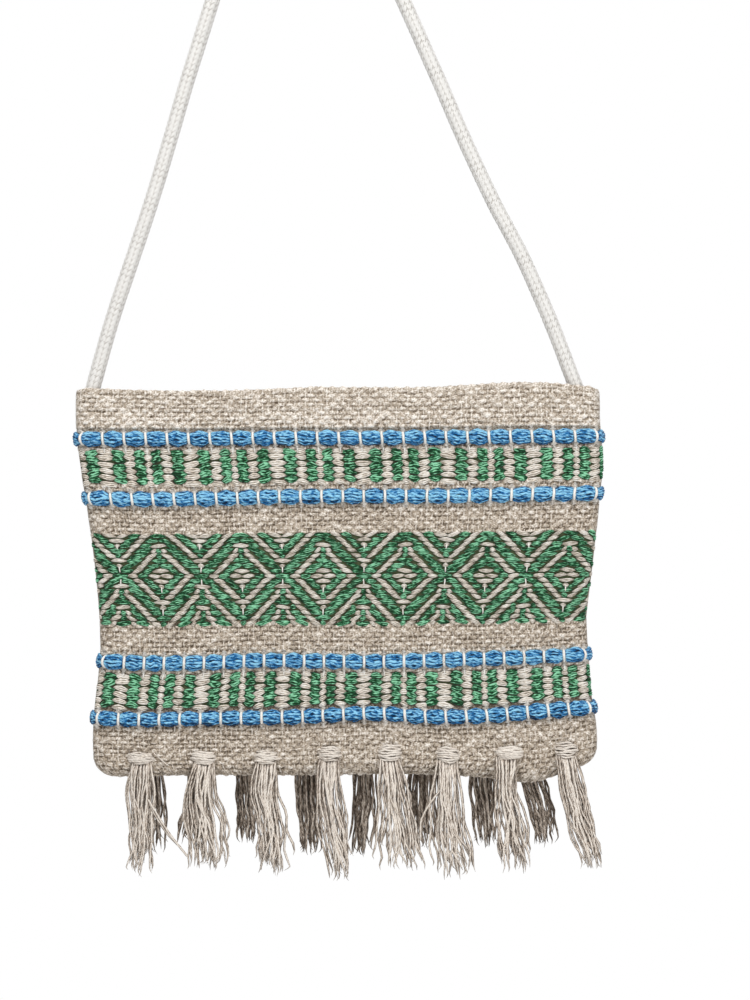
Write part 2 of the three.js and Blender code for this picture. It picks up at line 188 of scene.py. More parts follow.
BACK_TASSELS = [
    [-80.0, 194.0, 13.6, 7.5, 53, -6.0, 6.0, -8.5, 9.0, -9.0, 9.5, -8.5, 8.5],
    [-52.0, 194.0, 12.8, 7.5, 48, -6.0, 6.0, -6.5, 6.0, -8.5, 3.5, -10.5, 1.5],
    [-26.5, 194.0, 12.8, 7.5, 47, -6.0, 6.0, -6.5, 6.0, -6.0, 6.5, -6.0, 6.5],
    [6.0, 194.0, 12.8, 7.5, 54, -6.0, 6.0, -7.5, 7.5, -6.0, 7.5, -4.5, 6.5],
    [36.5, 194.0, 13.6, 7.5, 54, -6.2, 6.2, -6.5, 6.5, -7.0, 6.5, -7.5, 4.5],
    [68.0, 194.0, 13.6, 7.5, 50, -7.0, 7.0, -9.0, 8.5, -9.5, 8.5, -9.0, 9.0],
    [100.0, 194.0, 12.8, 7.5, 50, -6.0, 6.0, -8.0, 6.0, -6.5, 7.0, -4.5, 7.0],
    [124.0, 194.0, 12.8, 7.5, 48, -6.0, 6.0, -4.0, 9.5, 0.5, 13.5, 3.0, 15.0],
]
HEAD_YARNS = 7
HEAD_YARN_RADIUS = 0.66 * MM
FRAY_LENGTH = 2.6 * MM
FRAY_RADIUS = 0.3 * MM
# Share of the painted highlight that a hanging yarn has on its far side
FAR_CROWN = 0.4
GOLDEN_TURN = 2.39996

# Yarns that have slipped out of the front tassels: points across, out from the middle plane, and up
LOOSE_ROUTES = MM * np.array([
    [[-78.5, 11.2, -519.5], [-74.0, 11.6, -527.0], [-67.0, 11.0, -538.0], [-58.0, 10.2, -549.5]],
    [[-79.5, 10.6, -518.0], [-75.5, 10.8, -526.5], [-69.0, 10.4, -537.0], [-61.5, 9.8, -545.0]],
    [[79.0, 10.5, -512.0], [72.0, 11.0, -520.0], [66.5, 10.8, -530.0], [66.0, 10.2, -541.0]],
    [[-75.5, 8.9, -495.0], [-72.8, 8.9, -497.5], [-69.5, 8.8, -500.5], [-68.0, 8.7, -501.5]],
])

# The strap's middle line as [x, z] in metres, from inside the left corner to inside the right one
STRAP_ROUTE = [
    [-0.1072, -0.327], [-0.1082, -0.319], [-0.1091, -0.311], [-0.1092, -0.304], [-0.1082, -0.2987],
    [-0.0986, -0.2646], [-0.088, -0.2327], [-0.0774, -0.2008], [-0.0678, -0.1689], [-0.0585, -0.1369],
    [-0.0452, -0.0944], [-0.0317, -0.05], [-0.0191, -0.00995], [-0.0136, -0.0012], [-0.0074, 0.0027],
    [0.0, 0.00415], [0.0074, 0.0027], [0.0136, -0.0012], [0.0182, -0.0076], [0.0372, -0.05],
    [0.0572, -0.0944], [0.0761, -0.1369], [0.0899, -0.1689], [0.1048, -0.2008], [0.1132, -0.2166],
    [0.1214, -0.2327], [0.1354, -0.2646], [0.1477, -0.2965], [0.1496, -0.3015], [0.1509, -0.308],
    [0.1514, -0.316], [0.1512, -0.327],
]
STITCH = 3.1 * MM
BRAID_COLUMNS = 8
ROPE_RINGS = 900
ROPE_POINTS = 32

# Yarn finishes: colours from painted shade in the grooves to painted highlights on the crowns, then twist
# length, plies, change from strand to strand, what grooves, twist and dashes add to the contrast, and last
# the height of the bumps
YARNS = {
    "blue_cotton": (("blue_dark", "blue", "blue_light"), (4.6 * MM, 2, 0.35, 0.58, 0.34, 2.1), 0.4 * MM),
    "cream_thread": (("cloth_weft", "tie", "tie"), (1.6 * MM, 2, 0.3, 0.8, 0.2, 1.5), 0.12 * MM),
    "cream_weft": (("beige_dark", "cloth_light", "tie"), (5 * MM, 4, 0.3, 0.8, 0.2, 1.5), 0.22 * MM),
    "green_yarn": (("green_dark", "green", "green_light"), (5 * MM, 4, 0.3, 0.8, 0.25, 3.0), 0.22 * MM),
    "beige_yarn": (("beige_dark", "beige", "tie"), (5 * MM, 4, 0.25, 0.9, 0.2, 1.6), 0.22 * MM),
    "fringe_yarn": (("tassel_dark", "tassel", "tassel_light"), (2.6 * MM, 2, 0.6, 0.8, 0.2, 1.7), 0.22 * MM),
}
YARN_COLOURS = ("Dark", "Middle", "Light")
YARN_NUMBERS = ("Twist Length", "Plies", "Strand Variation", "Groove", "Twist Contrast", "Dash Contrast")

# Camera: straight on, framed on the bag and the lower part of the strap
CAMERA_MIDDLE = (0.0418, -0.3604)
CAMERA_DISTANCE = 2.0
FRAME_HEIGHT = 0.532
SENSOR = 36

# Stage: name, place, size and power of each lamp, the light all round, and the floor, whose glow rises
# from one distance to another and from one strength to another
LAMPS = (("key_lamp", (-0.45, -1.25, 1.25), 1.0, 28.0), ("fill_lamp", (1.3, -1.5, -0.2), 1.6, 13.0),
         ("rear_lamp", (0.4, 1.7, 1.1), 1.2, 17.0))
LAMP_TARGET = (0.0, 0.0, -0.4)
LIGHT_ALL_ROUND = 0.31
FLOOR_MIDDLE = (0.04, 0.0, -1.05)
FLOOR_RADIUS = 2.8
FLOOR_SIDES = 96
FLOOR_GREY = 0.86
FLOOR_GLOW = (1.1, 2.4, 0.15, 0.7)


def linear(code):
    """Linear colour with full alpha from a six-digit hex code."""
    parts = [int(code[i:i + 2], 16) / 255 for i in (0, 2, 4)]
    return [c / 12.92 if c <= 0.04045 else ((c + 0.055) / 1.055) ** 2.4 for c in parts] + [1.0]


# ---------------------------------------------------------------- shapes

def along_curve(values, place):
    """Smooth curve through evenly counted values, where place 2.5 lies halfway between values 2 and 3.
    Between two values it is the cubic whose slope at each is half the step between its neighbours."""
    values = np.asarray(values)
    place = np.clip(place, 0, len(values) - 1 - 1e-6)
    i = place.astype(int)
    f = place - i
    ends = np.concatenate([2 * values[:1] - values[1:2], values, 2 * values[-1:] - values[-2:-1]])
    if values.ndim == 2:
        a, b, c, d = (ends[i + n, np.arange(values.shape[1])] for n in range(4))
    else:
        a, b, c, d = (ends[i + n] for n in range(4))
    return b + 0.5 * f * ((c - a) + f * ((2 * a - 5 * b + 4 * c - d) + f * (3 * (b - c) + d - a)))


def ripple(a, b, seed=0.0):
    """Smooth unevenness between -1 and 1: the mean of three sine waves that cross at odd angles."""
    first = np.sin(1.7 * a + 2.3 * b + 0.6 * np.sin(0.9 * b + seed) + seed)
    second = np.sin(2.9 * a - 1.3 * b + 1.1 + 2.7 * seed)
    third = np.sin(0.7 * a + 3.1 * b + 2.0 + 4.1 * seed)
    return (first + second + third) / 3


def chance(a, b, seed=0.0):
    """A fixed random number from 0 to 1 for each pair: the last digits of a large sine."""
    value = np.sin(a * 12.9898 + b * 78.233 + seed * 37.719) * 43758.5453
    return value - np.floor(value)


def side_edges(depth):
    """Left and right edge at a depth: the mouth's corners, less the draw-in, less a quarter circle
    at the lower corners."""
    place = depth / BAG_DEPTH * (len(LEFT_INSET) - 1)
    into = np.clip((depth - BAG_DEPTH + CORNER_RADIUS) / CORNER_RADIUS, 0, 1)
    corner = CORNER_RADIUS * (1 - np.sqrt(1 - into ** 2))
    left = MOUTH_LEFT + along_curve(LEFT_INSET, place) + corner
    return left, MOUTH_RIGHT - along_curve(RIGHT_INSET, place) - corner


def on_cloth(across, depth, lift=0.0):
    """Points over one panel. The panel is half a pillow: from its middle plane it swells to its full
    half thickness as a quarter ellipse from each side edge and from the foot, with low waves. A point
    lies at the share `across` between the side edges and at `depth` under the mouth, less the sag of the
    cloth, and then `lift` along the pillow's outward normal. The result holds x, distance out and z."""
    across, depth, lift = np.broadcast_arrays(across, depth, lift)
    shape = across.shape
    across, depth, lift = (v.ravel().astype(float) for v in (across, depth, lift))
    left, right = side_edges(depth)
    x = left + across * (right - left)
    near_left = np.clip(1 - (x - left) / SIDE_ROUND, 0, 1)
    near_right = np.clip(1 - (right - x) / SIDE_ROUND, 0, 1)
    near_foot = np.clip(1 - (BAG_DEPTH - depth) / FOOT_ROUND, 0, 1)
    side_part = 1 - np.maximum(near_left, near_right) ** 2
    foot_part = 1 - near_foot ** 2
    swell = np.sqrt(side_part * foot_part)
    normal = np.stack([
        (near_right - near_left) / SIDE_ROUND * foot_part,
        swell / CLOTH_HALF + 1e-3,
        -near_foot / FOOT_ROUND * side_part,
    ], axis=-1)
    normal /= np.linalg.norm(normal, axis=-1, keepdims=True)
    levels = np.stack([along_curve(line, np.interp(across, SAG_STATIONS, np.arange(len(SAG_STATIONS))))
                       for line in SAG])
    sag = along_curve(levels, np.interp(depth, SAG_LEVELS, np.arange(len(SAG_LEVELS))))
    out = SEAM_GAP + (CLOTH_HALF - SEAM_GAP + WAVE_HEIGHT * ripple(x * 23, depth * 31, 1.0)) * swell
    points = np.stack([x, out, MOUTH_Z - depth - sag], axis=-1) + normal * lift[:, None]
    return points.reshape(shape + (3,))


def at_tie(tie):
    """Share across the bag at a tie's number."""
    return (tie - FIRST_TIE) / (LAST_TIE - FIRST_TIE)


def tie_step(depth):
    """Distance between neighbouring ties at a depth."""
    left, right = side_edges(np.asarray(depth, dtype=float))
    return (right - left) / (LAST_TIE - FIRST_TIE)


def weave(warp, pick):
    """Height and looks of the plain weave. Each pick of weft rises as a cosine over every second warp,
    with a half ellipse as its section, and lies one warp aside from the next pick. Each of these humps
    has its own thickness, place, lean and shade. A warp rises the other way round as a narrow thread,
    and the higher of the two shows. Returned are the height, how far up its yarn the point lies,
    whether a warp shows, and the yarn's shade."""
    near = np.round(warp)
    height = np.full(warp.shape, -0.8 * MM)
    relief = np.zeros(warp.shape)
    shade = np.full(warp.shape, 0.5)
    for step in (-1, 0, 1):
        row = np.floor(pick) + step
        hump = np.round((warp + row) / 2)
        aside = warp + row - 2 * hump
        thick = 0.75 + 0.55 * chance(row, hump, 1.3)
        middle = (row + 0.5 + 0.24 * (chance(row, hump, 2.1) - 0.5)
                  + 0.32 * aside * (chance(row, hump, 3.7) - 0.5))
        width = 0.5 * thick * (1 - 0.35 * np.abs(aside) ** 3)
        section = np.sqrt(np.clip(1 - ((pick - middle) / width) ** 2, 0, 1))
        weft = (0.42 * np.cos(np.pi * aside) + 0.7 * section - 0.38) * thick * MM
        higher = (section > 0) & (weft > height)
        height = np.where(higher, weft, height)
        # Painted shade: the relief, which sets the colour, fades to the hump's ends, where the gaps lie.
        fade = np.cos(0.5 * np.pi * np.clip(aside, -0.95, 0.95) / 0.95) ** 0.7
        relief = np.where(higher, section * fade, relief)
        shade = np.where(higher, chance(row, hump, 5.9), shade)
    over = -np.cos(np.pi * (near + pick - 0.5))
    thread = np.sqrt(np.clip(1 - ((warp - near) / 0.2) ** 2, 0, 1))
    strong = chance(near, np.floor(pick), 4.4)
    tick = (0.25 * over + 0.3 * thread + 0.3 * strong - 0.4) * MM
    shows = (tick > height) & (thread > 0)
    height = np.where(shows, tick, height)
    relief = np.where(shows, 0.2 + 0.6 * strong, relief)
    return height, relief, shows.astype(float), np.where(shows, strong, shade)


def body(rings, start, end, along, shade, relief):
    """Closed bodies through rings of points, with a point at each end. `rings` is bodies x rings x points
    x 3, and `along` the distance of each ring from the start, kept with the share round the ring as the
    yarn's own map. `relief` runs from 0 in a groove to 1 on a crown: it paints shade in the grooves and
    highlights on the crowns, and the two end points get a fixed painted shade."""
    count, steps, around = rings.shape[:3]
    points = np.concatenate([rings.reshape(count, -1, 3), start[:, None], end[:, None]], axis=1)
    i, j = (v.ravel() for v in np.meshgrid(np.arange(steps - 1), np.arange(around), indexing="ij"))
    k = (j + 1) % around
    quads = np.stack([i * around + j, i * around + k, (i + 1) * around + k, (i + 1) * around + j], axis=-1)
    quad_map = np.empty((count, len(i), 4, 2))
    quad_map[..., :2, 0] = along[:, i, None]
    quad_map[..., 2:, 0] = along[:, i + 1, None]
    quad_map[..., [0, 3], 1] = j[:, None] / around
    quad_map[..., [1, 2], 1] = (j[:, None] + 1) / around
    j, k, last = j[:around], k[:around], (steps - 1) * around
    tris = np.concatenate([
        np.stack([np.full(around, last + around), k, j], axis=-1),
        np.stack([np.full(around, last + around + 1), last + j, last + k], axis=-1),
    ])
    tri_map = np.empty((count, 2 * around, 3, 2))
    tri_map[:, :around, :, 0] = along[:, :1, None]
    tri_map[:, around:, :, 0] = along[:, -1:, None]
    tri_map[..., 1] = (np.tile(j, 2)[:, None] + [[0.5, 0.9, 0.1]]) / around
    base = (np.arange(count) * points.shape[1])[:, None, None]
    # Painted shade at the two end points of each body.
    ends_relief = np.full((count, 2), 0.3)
    relief = np.broadcast_to(relief, rings.shape[:3]).reshape(count, -1)
    return {
        "points": points.reshape(-1, 3),
        "quads": (quads + base).reshape(-1, 4),
        "tris": (tris + base).reshape(-1, 3),
        "quad_map": quad_map.reshape(-1, 4, 2),
        "tri_map": tri_map.reshape(-1, 3, 2),
        "shade": np.repeat(shade, points.shape[1]),
        "relief": np.concatenate([relief, ends_relief], axis=1).ravel(),
    }


def tubes(paths, radius, around, aside, shade, crest=0, opposite=0.0):
    """Round tubes: at each point of a path stands a circle of `radius`, square to the path, whose first
    point lies towards `aside`. The crown of the tube is `crest` degrees on from there, and its relief
    falls off from it as a cosine: a painted highlight on the crown and painted shade on the side away from
    it. A tube that hangs free has a lower crown `opposite` too, a weaker painted highlight on its far side."""
    tangent = np.gradient(paths, axis=1)
    tangent /= np.linalg.norm(tangent, axis=-1, keepdims=True)
    aside = np.broadcast_to(np.asarray(aside, dtype=float), paths.shape)
    first = aside - tangent * np.sum(tangent * aside, axis=-1, keepdims=True)
    first /= np.linalg.norm(first, axis=-1, keepdims=True)
    second = np.cross(tangent, first)
    angle = 2 * np.pi * np.arange(around) / around
    circle = np.cos(angle)[:, None] * first[:, :, None] + np.sin(angle)[:, None] * second[:, :, None]
    rings = paths[:, :, None] + radius[..., None, None] * circle
    start = paths[:, 0] - tangent[:, 0] * radius[:, :1] * 0.6
    end = paths[:, -1] + tangent[:, -1] * radius[:, -1:] * 0.6
    steps = np.linalg.norm(np.diff(paths, axis=1), axis=-1)
    along = np.concatenate([np.zeros((len(paths), 1)), np.cumsum(steps, axis=1)], axis=1)
    # Painted highlight and shade by the side that a tube turns towards its crown.
    relief = np.cos(angle - math.radians(crest))
    return body(rings, start, end, along, shade, np.maximum(relief, -opposite * relief))


def gather(parts):
    """Puts parts together as one surface."""
    offset = np.cumsum([0] + [len(p["points"]) for p in parts[:-1]])
    joined = {key: np.concatenate([p[key] for p in parts])
              for key in ("points", "quad_map", "tri_map", "shade", "relief")}
    for key in ("quads", "tris"):
        joined[key] = np.concatenate([p[key] + o for p, o in zip(parts, offset)])
    return joined


def signed_volume(points, faces):
    """Volume inside faces with a common first corner: a sixth of the sum of the triple products."""
    total = 0.0
    for n in range(1, faces.shape[1] - 1):
        a, b, c = (points[faces[:, m]] - points[0] for m in (0, n, n + 1))
        total += np.einsum("ij,ij->", a, np.cross(b, c)) / 6
    return total


def put(name, data):
    """A new object in the scene."""
    obj = bpy.data.objects.new(name, data)
    bpy.context.scene.collection.objects.link(obj)
    return obj


def piece(name, part, side, finish, replaced=()):
    """Makes the surface an object. `side` turns the distance out into y, and the faces are turned
    round where the volume that they enclose comes out negative."""
    points = part["points"].copy()
    points[:, 1] *= side
    quads, tris, quad_map, tri_map = (part[key] for key in ("quads", "tris", "quad_map", "tri_map"))
    if signed_volume(points, quads) + signed_volume(points, tris) < 0:
        quads, tris, quad_map, tri_map = (v[:, ::-1] for v in (quads, tris, quad_map, tri_map))
    mesh = bpy.data.meshes.new(name)
    corners = np.concatenate([quads.ravel(), tris.ravel()]).astype(np.int32)
    sizes = np.concatenate([np.full(len(quads), 4), np.full(len(tris), 3)])
    starts = np.concatenate([[0], np.cumsum(sizes)[:-1]]).astype(np.int32)
    mesh.vertices.add(len(points))
    mesh.vertices.foreach_set("co", points.astype(np.float32).ravel())
    mesh.loops.add(len(corners))
    mesh.loops.foreach_set("vertex_index", corners)
    mesh.polygons.add(len(sizes))
    mesh.polygons.foreach_set("loop_start", starts)
    mesh.update(calc_edges=True)
    mesh.polygons.foreach_set("use_smooth", np.ones(len(sizes), dtype=bool))
    yarn_map = mesh.uv_layers.new(name="yarn")
    values = np.concatenate([quad_map.reshape(-1, 2), tri_map.reshape(-1, 2)])
    yarn_map.data.foreach_set("uv", values.astype(np.float32).ravel())
    for key in ("shade", "relief", "warp"):
        if key in part:
            held = mesh.attributes.new(key, "FLOAT", "POINT")
            held.data.foreach_set("value", part[key].astype(np.float32).ravel())
    if mesh.validate(clean_customdata=False):
        raise RuntimeError(name + " has faulty faces")
    mesh.update()
    mesh.materials.append(finish)
    obj = put(name, mesh)
    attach(obj, "root")
    if replaced:
        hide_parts(*replaced)
    return obj


# ---------------------------------------------------------------- materials

def place_node(tree, kind, values=None, **settings):
    """Adds a node, with its settings and with the values or links of its inputs."""
    node = tree.nodes.new("ShaderNode" + kind)
    for key, value in settings.items():
        setattr(node, key, value)
    for key, value in (values or {}).items():
        if isinstance(value, bpy.types.NodeSocket):
            tree.links.new(value, node.inputs[key])
        else:
            node.inputs[key].default_value = value
    return node


def calculate(tree, operation, *values):
    """A Math node's result."""
    return place_node(tree, "Math", dict(enumerate(values)), operation=operation).outputs[0]


def add_shares(tree, level, shares):
    """The level, with a share of what each source has over a half."""
    for source, share in shares:
        level = calculate(tree, "MULTIPLY_ADD", calculate(tree, "SUBTRACT", source, 0.5), share, level)
    return level


def ramp(tree, value, low, high, start=0.0, end=1.0):
    """A Map Range node's result: `start` at `low` and `end` at `high`."""
    return place_node(tree, "MapRange", {0: value, 1: low, 2: high, 3: start, 4: end}).outputs[0]


def blend(tree, factor, first, second):
    """A Mix node's colour."""
    return place_node(tree, "Mix", {0: factor, 6: first, 7: second}, data_type="RGBA").outputs[2]


def attribute(tree, key):
    """A value that the mesh holds at its points."""
    return place_node(tree, "Attribute", attribute_name=key).outputs["Fac"]


def object_place(tree):
    """Where a point lies in the object's own space."""
    return place_node(tree, "TexCoord").outputs["Object"]


def noise(tree, place, scale, detail, roughness=0.5):
    """A Noise Texture's value. Its scale is one number, or one for each axis."""
    if isinstance(scale, tuple):
        place, scale = place_node(tree, "Mapping", {"Vector": place, "Scale": scale}).outputs[0], 1.0
    values = {"Vector": place, "Scale": scale, "Detail": detail, "Roughness": roughness}
    return place_node(tree, "TexNoise", values).outputs[0]


def plied_yarn_group():
    """Twisted yarn: stripes that wind round the strand, fibres and dashes along them, and an even change of
    shade from strand to strand. Its colour runs from painted shade in the grooves, where the relief is low,
    to painted highlights on the crowns of the relief and of the twist."""
    if "plied_yarn" in bpy.data.node_groups:
        return bpy.data.node_groups["plied_yarn"]
    tree = bpy.data.node_groups.new("plied_yarn", "ShaderNodeTree")
    for label in YARN_COLOURS + YARN_NUMBERS:
        kind = "NodeSocketColor" if label in YARN_COLOURS else "NodeSocketFloat"
        tree.interface.new_socket(label, in_out="INPUT", socket_type=kind)
    for label, kind in (("Color", "NodeSocketColor"), ("Height", "NodeSocketFloat")):
        tree.interface.new_socket(label, in_out="OUTPUT", socket_type=kind)
    given, result = tree.nodes.new("NodeGroupInput").outputs, tree.nodes.new("NodeGroupOutput").inputs
    calc = partial(calculate, tree)

    yarn_map = place_node(tree, "UVMap", uv_map="yarn").outputs[0]
    along, around, _ = place_node(tree, "SeparateXYZ", {0: yarn_map}).outputs
    shade, relief, place = attribute(tree, "shade"), attribute(tree, "relief"), object_place(tree)
    fibre = noise(tree, place, 2600.0, 3.0, 0.65)
    patch = noise(tree, place, 420.0, 2.0)
    turns = calc("ADD", calc("DIVIDE", along, given["Twist Length"]), calc("MULTIPLY_ADD", patch, 1.6, shade))
    turns = calc("MULTIPLY_ADD", around, given["Plies"], turns)
    crown = calc("ABSOLUTE", calc("SINE", calc("MULTIPLY", turns, math.pi)))
    scales = ((along, 380), (around, 5), (shade, 60))
    strand = {n: calc("MULTIPLY", value, scale) for n, (value, scale) in enumerate(scales)}
    dash = noise(tree, place_node(tree, "CombineXYZ", strand).outputs[0], 1.0, 2.0)
    # Painted shade and highlight: the level rises with the twist's crowns and with the relief, and the colour
    # follows it from dark to light.
    level = calc("MULTIPLY_ADD", crown, given["Twist Contrast"], -0.05)
    level = calc("MULTIPLY_ADD", relief, given["Groove"], level)
    level = add_shares(tree, level, ((fibre, 0.4), (dash, given["Dash Contrast"]),
                                     (shade, given["Strand Variation"]), (patch, 0.5)))
    colour = blend(tree, ramp(tree, level, 0.12, 0.5), given["Dark"], given["Middle"])
    colour = blend(tree, ramp(tree, level, 0.5, 0.88), colour, given["Light"])
    tree.links.new(colour, result["Color"])
    tree.links.new(calc("MULTIPLY_ADD", fibre, 0.35, crown), result["Height"])
    return tree


def new_material(name):
    """A material with an empty Principled BSDF, its node tree and that shader's inputs."""
    material = bpy.data.materials.new(name)
    material.use_nodes = True
    return material, material.node_tree, material.node_tree.nodes["Principled BSDF"].inputs


def lay_on(tree, shader, colour, height, depth, strength, roughness, sheen, specular=0.2):
    """Gives the shader its colour, bumps as high as `depth`, and how rough and downy the cotton is."""
    bump = place_node(tree, "Bump", {"Height": height, "Distance": depth, "Strength": strength})
    tree.links.new(colour, shader["Base Color"])
    tree.links.new(bump.outputs[0], shader["Normal"])
    for label, value in (("Roughness", roughness), ("Sheen Weight", sheen), ("Specular IOR Level", specular)):
        shader[label].default_value = value


def yarn_finish(colours, name):
    """Twisted yarn in three colours, from painted shade in the grooves to painted highlights on the crowns.
    """
    if name in bpy.data.materials:
        return bpy.data.materials[name]
    shades, numbers, depth = YARNS[name]
    material, tree, shader = new_material(name)
    yarn = place_node(tree, "Group", node_tree=plied_yarn_group())
    values = [list(getattr(colours, key)) for key in shades] + list(numbers)
    for label, value in zip(YARN_COLOURS + YARN_NUMBERS, values):
        yarn.inputs[label].default_value = value
    lay_on(tree, shader, yarn.outputs["Color"], yarn.outputs["Height"], depth, 0.9, 0.88, 0.15, 0.25)
    return material


def cloth_finish(colours):
    """Plain weave of raw cotton: painted shade in the gaps, beige weft, cream warps and painted highlights,
    with uneven slubs and fibres. Bare ground under the pattern wefts is darker, as painted shade."""
    material, tree, shader = new_material("woven_cotton")
    relief, warp, shade = (attribute(tree, key) for key in ("relief", "warp", "shade"))
    gap, weft, light, ground = (list(getattr(colours, "cloth_" + key))
                                for key in ("gap", "weft", "light", "ground"))
    place = object_place(tree)
    fibre = noise(tree, place, 1500.0, 3.0, 0.7)
    slub = noise(tree, place, (260.0, 260.0, 620.0), 2.0)
    speck = noise(tree, place, (950.0, 950.0, 1500.0), 1.0)
    level = calculate(tree, "MULTIPLY_ADD", relief, 0.68, 0.1)
    level = add_shares(tree, level, ((speck, 1.7), (fibre, 0.5), (slub, 0.4), (shade, 0.24)))
    # Painted shade and highlight: the level, led by the relief, runs from the gap colour to the light one,
    # and the ground under the pattern takes its dark colour.
    colour = blend(tree, ramp(tree, level, 0.08, 0.5), gap, weft)
    colour = blend(tree, ramp(tree, level, 0.55, 1.05), colour, light)
    colour = blend(tree, ramp(tree, relief, -0.5, -0.1), ground, colour)
    warp_part = calculate(tree, "MULTIPLY", calculate(tree, "MULTIPLY", warp, relief), 0.7)
    colour = blend(tree, warp_part, colour, light)
    lay_on(tree, shader, colour, speck, 0.22 * MM, 0.9, 0.92, 0.15)
    return material


def rope_finish(colours, diameter):
    """Braided cotton rope: pale stitches, with painted shade in the gaps between them."""
    material, tree, shader = new_material("braided_cotton")
    fibre = noise(tree, object_place(tree), 2200.0, 3.0, 0.7)
    level = add_shares(tree, attribute(tree, "relief"), ((fibre, 0.7),))
    colour = blend(tree, ramp(tree, level, 0.0, 0.6), list(colours.rope_gap), list(colours.rope))
    lay_on(tree, shader, colour, fibre, 0.03 * diameter, 0.8, 0.9, 0.2)
    return material


def in_view(tree):
    """1 for rays of the camera and for those that gloss or glass sends on, and otherwise 0."""
    path = place_node(tree, "LightPath").outputs
    seen = calculate(tree, "MAXIMUM", path["Is Camera Ray"], path["Is Glossy Ray"])
    return calculate(tree, "MAXIMUM", seen, path["Is Transmission Ray"])


# ---------------------------------------------------------------- settings

def length(label, text, default):
    return FloatProperty(name=label, description=text, default=default, min=0.0, unit="LENGTH", precision=5)


def yarn_count(label, text, default):
    return IntProperty(name=label, description=text, default=default, min=4)


def colour(label, text, code):
    return FloatVectorProperty(name=label, description=text, default=linear(code), size=4, min=0.0, max=1.0,
                               subtype="COLOR")


class BagSizes(bpy.types.PropertyGroup):
    strap_diameter: length("Strap Diameter", "Thickness of the braided rope", 8.2 * MM)
    roving_height: length("Roving Height", "Height of a blue bead between two ties", 8.7 * MM)
    roving_rise: length("Roving Rise", "How far a blue bead stands off the cloth", 4.4 * MM)
    roving_strand: length("Roving Strand", "Thickness of one strand of the roving", 1.75 * MM)
    tie_thread: length("Tie Thread", "Thickness of the cream tie threads", 1.5 * MM)
    float_rise: length("Float Rise", "How far a pattern weft stands off the cloth", 1.5 * MM)
    tassel_yarn: length("Tassel Yarn", "Thickness of one yarn of a tassel", 1.25 * MM)
    front_yarns: yarn_count("Front Yarns", "Yarns in a tassel at the front", 32)
    back_yarns: yarn_count("Back Yarns", "Yarns in a tassel at the back", 28)


class BagColours(bpy.types.PropertyGroup):
    cloth_gap: colour("Cloth Gaps", "Shade between the yarns of the cloth", "6A5C4C")
    cloth_ground: colour("Cloth Ground", "Shaded cloth under the pattern wefts", "5A6246")
    cloth_weft: colour("Cloth Weft", "Raw cotton of the weft", "BBAC9A")
    cloth_light: colour("Cloth Light", "Cream of the warps and the highlights", "FFF8EF")
    beige_dark: colour("Beige Grooves", "Grooves of the beige pattern weft", "908474")
    beige: colour("Beige Weft", "Beige pattern weft", "EDE1D1")
    green_dark: colour("Green Grooves", "Grooves of the green weft", "052C15")
    green: colour("Green Weft", "Green weft", "287144")
    green_light: colour("Green Light", "Crowns of the green weft", "96DCB2")
    blue_dark: colour("Blue Grooves", "Grooves of the blue roving", "032542")
    blue: colour("Blue Roving", "Blue roving", "1874B6")
    blue_light: colour("Blue Light", "Crowns of the blue roving", "9ADBFA")
    tie: colour("Tie Thread", "Cream tie threads", "FBF7F0")
    tassel_dark: colour("Tassel Grooves", "Grooves of the tassel yarn", "5F5246")
    tassel: colour("Tassel Yarn", "Tassel yarn", "C4B5A6")
    tassel_light: colour("Tassel Light", "Crowns of the tassel yarn", "F4EBE0")
    rope_gap: colour("Rope Gaps", "Shade between the stitches of the rope", "ADA79F")
    rope: colour("Rope", "Off-white cotton rope", "F1EFEB")


# ---------------------------------------------------------------- pieces

def cloth_rows():
    """Picks at which a panel has a row of points: several rows a pick in the plain bands, one elsewhere."""
    picks = np.arange(0, int(BAG_DEPTH / PICK) + 1)
    middle = (picks + 0.5) * PICK
    plain = ((middle[:, None] > PLAIN_BANDS[:, 0]) & (middle[:, None] < PLAIN_BANDS[:, 1])).any(axis=1)
    counts = np.where(plain, ROWS_PER_PICK, 1)
    rows = [pick + np.arange(n) / n for pick, n in zip(picks, counts)]
    return np.concatenate(rows), np.repeat(plain, counts)


def zip_side(outer, outer_depth, inner, inner_depth, turned):
    """Triangles between two lines of points down the same edge: each stretch of one line is closed to
    the point of the other that lies at its depth."""
    switch = (inner_depth[:-1] + inner_depth[1:]) / 2
    partner = np.searchsorted(switch, (outer_depth[:-1] + outer_depth[1:]) / 2)
    first = np.stack([outer[:-1], outer[1:], inner[partner]], axis=-1)
    meets = np.searchsorted(partner, np.arange(len(inner) - 1), side="right")
    second = np.stack([inner[1:], inner[:-1], outer[meets]], axis=-1)
    tris = np.concatenate([first, second])
    real = (tris[:, 0] != tris[:, 1]) & (tris[:, 1] != tris[:, 2]) & (tris[:, 0] != tris[:, 2])
    tris = tris[real]
    return tris[:, ::-1] if turned else tris


